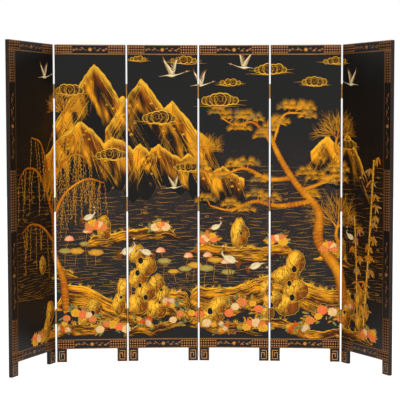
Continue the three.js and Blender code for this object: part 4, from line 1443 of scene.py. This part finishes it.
def garden_picture():
    """The whole picture, as reliefs by depth: what is far off, the water, the near ground, the trees and the birds."""
    far, sea, ground, trees, birds = (Relief() for _ in range(5))
    mountain(far, 400, 900, [(470, 1430, 1.3), (640, 1722, 1.5), (800, 1540, 1.3)], 430, 0.02, 1, 0.56)
    mountain(far, 700, 1330, [(905, 1640, 1.5), (1085, 1500, 1.2), (1230, 1350, 0.9)], 420, 0.10, 2)
    mountain(far, 330, 1000, [(560, 1390, 0.9), (740, 1310, 0.8), (900, 1250, 0.7)], 300, 0.22, 3, 0.8)
    mountain(far, 1880, 2240, [(1970, 1290, 0.8), (2100, 1320, 1.3)], 260, 0.02, 4)
    mountain(far, 900, 1500, [(1010, 1260, 0.8), (1180, 1190, 0.7), (1380, 1130, 0.6)], 200, 0.24, 5, 0.8)
    drifts = [
        (500, 1560, 210, 74), (1010, 1400, 250, 84), (735, 1190, 230, 70), (1360, 1500, 270, 84),
        (1650, 1680, 250, 66), (2110, 1250, 200, 60), (1900, 1610, 190, 56), (1190, 1120, 230, 64),
        (1420, 1610, 170, 44), (1150, 1735, 210, 46), (2020, 1730, 190, 46), (890, 1745, 130, 34),
    ]
    for k, (x, z, wide, tall) in enumerate(drifts):
        cloud(far, x, z, wide, tall, 0.42, 12 + k)
    water(sea, *WATER_ROWS, 18.5, 3)
    bank(ground, 560, 1130, lambda x: 760 + 26 * np.sin(x / 130), 70, 0.3, 7)
    bank(ground, 1180, 1800, lambda x: 690 + 30 * np.sin(x / 150 + 1), 80, 0.3, 8)
    bank(ground, 380, 560, lambda x: 560 + 26 * np.sin(x / 110), 60, 0.3, 9)
    bank(ground, 1900, 2150, lambda x: 640 + 22 * np.sin(x / 90), 66, 0.3, 10)
    bank(ground, 400, 1240, lambda x: 420 + 60 * np.sin(x / 200 + 0.3) + 24 * np.sin(x / 73), 150, 0.36, 13)
    bank(ground, 1130, 2200, lambda x: 430 + 56 * np.sin(x / 235 + 0.7) + 26 * np.sin(x / 83), 165, 0.36, 15)
    bank(ground, 300, 900, lambda x: 225 + 30 * np.sin(x / 150 + 2.2) + 14 * np.sin(x / 61), 62, 0.46, 14, -0.2)
    bank(ground, 800, 1560, lambda x: 215 + 34 * np.sin(x / 170 + 0.9) + 16 * np.sin(x / 57), 64, 0.46, 16, -0.2)
    bank(ground, 1500, 2330, lambda x: 222 + 36 * np.sin(x / 190 + 0.2) + 14 * np.sin(x / 64), 66, 0.46, 17, -0.2)
    stones = [
        (905, 300, 170, 360), (1010, 270, 130, 220), (790, 290, 120, 170), (1770, 290, 200, 330), (1650, 260, 140, 200),
        (345, 170, 100, 170), (2240, 220, 120, 210), (1330, 220, 190, 140), (610, 220, 150, 130), (2110, 230, 140, 130),
        (690, 735, 100, 90), (1470, 690, 120, 110), (2060, 620, 90, 80), (290, 545, 80, 70),
    ]
    for k, (x, z, wide, tall) in enumerate(stones):
        stone(ground, x, z, wide, tall, 0.5, 30 + k)
    lotus(sea, 1215, 520, 0.25, 5, 7)
    lotus(sea, 560, 620, 0.25, 6, 4)
    bare = [(2030, 1300, 170), (2035, 790, 210), (465, 1440, 150), (1270, 1215, 130)]
    for k, (x, z, size) in enumerate(bare):
        fan_tree(trees, x, z, size, 0.5, 50 + k)
    pine(trees, 0.62)
    willow(trees, 0.55)
    bamboo(trees, [(2250, 240, 2330, 1180, 15), (2200, 240, 2170, 860, 12)], 0.6, 4)
    bushes = [
        (560, 235, 100), (1180, 205, 110), (1480, 270, 120), (1560, 180, 80), (1960, 225, 105), (740, 170, 80),
        (2300, 180, 56), (250, 150, 50), (650, 775, 44), (1010, 775, 38), (1290, 700, 42), (1690, 690, 46),
        (1990, 655, 34),
    ]
    for k, (x, z, size) in enumerate(bushes):
        peony_bush(trees, x, z, size, 0.62, 70 + k)
    beds = [
        (930, 205, 62), (1375, 170, 58), (1800, 180, 60), (2120, 320, 50), (430, 180, 60), (1080, 320, 44),
    ]
    for k, (x, z, spread) in enumerate(beds):
        chrysanthemums(trees, x, z, spread, 0.66, 80 + k)
    waders = [
        (820, 555, 175, 1, False), (935, 560, 150, -1, True), (1420, 500, 185, -1, False), (1560, 475, 160, 1, True),
        (600, 770, 140, 1, False), (1330, 715, 130, 1, False), (2140, 670, 130, -1, False),
    ]
    for x, z, size, side, low in waders:
        crane_standing(birds, x, z, size, 0.7, side, low)
    flights = [
        (1090, 1655, 170, 1), (1255, 1600, 140, 1), (1490, 1700, 150, -1), (2130, 1600, 140, -1),
        (330, 1640, 130, 1), (1100, 1010, 120, 1),
    ]
    for x, z, size, side in flights:
        crane_flying(birds, x, z, size, 0.7, side)
    return {"distance": far, "water": sea, "ground": ground, "trees": trees, "birds": birds}


# ---------------------------------------------------------------- operators


class Making(bpy.types.Operator):
    """Shared options of the operators that make the screen."""

    bl_options = {"REGISTER", "UNDO"}


class LACQUER_OT_boards(Making):
    """Give each board its own black lacquer."""

    bl_idname = "lacquer_screen.boards"
    bl_label = "Lacquer the boards"

    def execute(self, context):
        for board in boards():
            board.node.material_slots[0].material = lacquer(board)
        return {"FINISHED"}


class LACQUER_OT_hinges(Making):
    """Give the leaves and webs of the hinges aged brass."""

    bl_idname = "lacquer_screen.hinges"
    bl_label = "Brass the hinges"

    def execute(self, context):
        for hinge in HINGES:
            for part in ("front_leaf", "back_leaf", "web"):
                bpy.data.objects[f"{hinge}_{part}"].material_slots[0].material = aged_brass()
        return {"FINISHED"}


class LACQUER_OT_screws(Making):
    """Drive three slotted screws through every leaf of the hinges into the edge of its board."""

    bl_idname = "lacquer_screen.screws"
    bl_label = "Drive the screws"

    def execute(self, context):
        rng = np.random.default_rng(8)
        for hinge in HINGES:
            left = int(hinge.split("_")[1][0])
            for side, leaf in ((1, "front"), (-1, "back")):
                board = boards()[left - 1 if side > 0 else left]
                box = bpy.data.objects[f"{hinge}_{leaf}_leaf"].bound_box
                level = (box[0][2] + box[6][2]) / 2 / MM
                rows = np.array([-1, 0, 1])
                depth = EDGE_MIDDLE + np.where(rows == 0, 3, -3) * side
                p, faces = screws(level + SCREW_STEP * rows, depth, side, rng.uniform(0, np.pi, 3))
                make_object(f"{hinge}_{leaf}_screws", board.place(p), faces, aged_brass(), board.body)
        return {"FINISHED"}


class LACQUER_OT_bands(Making):
    """Lay the copper bands, fretwork and feet ornament on every board."""

    bl_idname = "lacquer_screen.bands"
    bl_label = "Lay the copper bands"

    def execute(self, context):
        for board in boards():
            # The copper is dimmed on every board, and further on the two end boards as painted shade for the light they
            # turn away from.
            wear_and_shade = colours().end_copper_shade if board.number in (1, PANELS) else colours().middle_copper
            reach = board.half - COPPER_MARGIN
            window = (board.x - reach, board.x + reach, COPPER_MARGIN, BOARD_HEIGHT - COPPER_MARGIN)
            ornament = bands(board).moved(board.x, np.array([wear_and_shade, wear_and_shade, wear_and_shade, 1.0]))
            ornament.lay(board, f"{board.body}_copper_bands", window)
        return {"FINISHED"}


class LACQUER_OT_picture(Making):
    """Paint the gilt garden landscape across the six boards."""

    bl_idname = "lacquer_screen.picture"
    bl_label = "Paint the picture"

    def execute(self, context):
        for depth, relief in garden_picture().items():
            for board in boards():
                relief.lay(board, f"{board.body}_{depth}", board.window())
        return {"FINISHED"}


class LACQUER_OT_studio(Making):
    """Set up the floor, the world, a broad lamp in front, a soft sun above and the camera."""

    bl_idname = "lacquer_screen.studio"
    bl_label = "Set up the studio"

    def execute(self, context):
        scene, s = context.scene, context.scene.studio_settings
        t = np.linspace(-FLOOR_HALF, FLOOR_HALF, 5)
        x, y = (a.ravel() for a in np.meshgrid(t, t))
        mesh = bpy.data.meshes.new("studio_floor")
        i, j = (a.ravel() for a in np.meshgrid(np.arange(4), np.arange(4), indexing="ij"))
        a = i * 5 + j
        mesh.from_pydata(np.stack([x, y, 0 * x], 1).tolist(), [], np.stack([a, a + 1, a + 6, a + 5], 1).tolist())
        floor = bpy.data.objects.new("studio_floor", mesh)
        scene.collection.objects.link(floor)
        m, w, shader, _ = new_material("pale_floor")
        w.fill(
            shader,
            Base_Color=rgba(paint("floor")),
            Roughness=0.9,
            Specular_IOR_Level=0.1,
            Emission_Color=(1, 1, 1, 1),
            Emission_Strength=w.times(w.seen(), 0.75),
        )
        mesh.materials.append(m)
        world = bpy.data.worlds.new("studio")
        scene.world = world
        world.use_nodes = True
        w = Wiring(world.node_tree)
        back = next(n for n in world.node_tree.nodes if n.type == "BACKGROUND")
        w.fill(back, Color=(1, 1, 1, 1), Strength=w.band(w.seen(), 0.0, 1.0, s.ambient, 1.0))
        front = bpy.data.lights.new("front_light", "AREA")
        front.size, front.energy = 2.6, s.key
        self.hang(front, (1.1, -8.1, 2.6), (0.0, 0.1, 0.95))
        above = bpy.data.lights.new("top_light", "SUN")
        above.angle, above.energy = math.radians(70), s.top
        self.hang(above, (0.0, -0.4, 4.0), (0.0, 0.0, 0.0))
        camera = bpy.data.objects.new("camera", bpy.data.cameras.new("camera"))
        scene.collection.objects.link(camera)
        camera.location = (s.camera_x, s.camera_y, s.camera_z)
        camera.rotation_euler = (math.pi / 2 + s.pitch, 0.0, s.yaw)
        camera.data.sensor_width = 36
        camera.data.lens = s.lens
        camera.data.shift_x, camera.data.shift_y = s.shift_x, s.shift_y
        camera.data.clip_end = CLIP_END
        scene.camera = camera
        scene.view_settings.view_transform = "Standard"
        return {"FINISHED"}

    def hang(self, light, place, target):
        """Hangs a light in its place, turned to its target and not mirrored in the lacquer."""
        lamp = bpy.data.objects.new(light.name, light)
        bpy.context.scene.collection.objects.link(lamp)
        lamp.location = place
        lamp.rotation_euler = (Vector(target) - Vector(place)).to_track_quat("-Z", "Y").to_euler()
        lamp.visible_glossy = False


class LACQUER_PT_panel(bpy.types.Panel):
    """The screen's pieces and settings."""

    bl_idname = "LACQUER_PT_panel"
    bl_label = "Lacquer Screen"
    bl_space_type = "VIEW_3D"
    bl_region_type = "UI"
    bl_category = "Lacquer Screen"

    def draw(self, context):
        for operator in STEPS:
            self.layout.operator(operator.bl_idname)
        for group in (context.scene.screen_sizes, context.scene.screen_colours, context.scene.studio_settings):
            for key in group.bl_rna.properties.keys():
                if key not in ("rna_type", "name"):
                    self.layout.prop(group, key)


STEPS = (
    LACQUER_OT_boards,
    LACQUER_OT_hinges,
    LACQUER_OT_screws,
    LACQUER_OT_bands,
    LACQUER_OT_picture,
    LACQUER_OT_studio,
)
SETTINGS = (("screen_colours", ScreenColours), ("screen_sizes", ScreenSizes), ("studio_settings", StudioSettings))


def register():
    for name, group in SETTINGS:
        bpy.utils.register_class(group)
        setattr(bpy.types.Scene, name, bpy.props.PointerProperty(type=group))
    for item in (*STEPS, LACQUER_PT_panel):
        bpy.utils.register_class(item)


def unregister():
    for item in reversed((*STEPS, LACQUER_PT_panel)):
        bpy.utils.unregister_class(item)
    for name, group in reversed(SETTINGS):
        delattr(bpy.types.Scene, name)
        bpy.utils.unregister_class(group)


def main():
    register()
    for operator in STEPS:
        family, name = operator.bl_idname.split(".")
        getattr(getattr(bpy.ops, family), name)()
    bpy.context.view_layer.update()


if __name__ == "__main__":
    main()
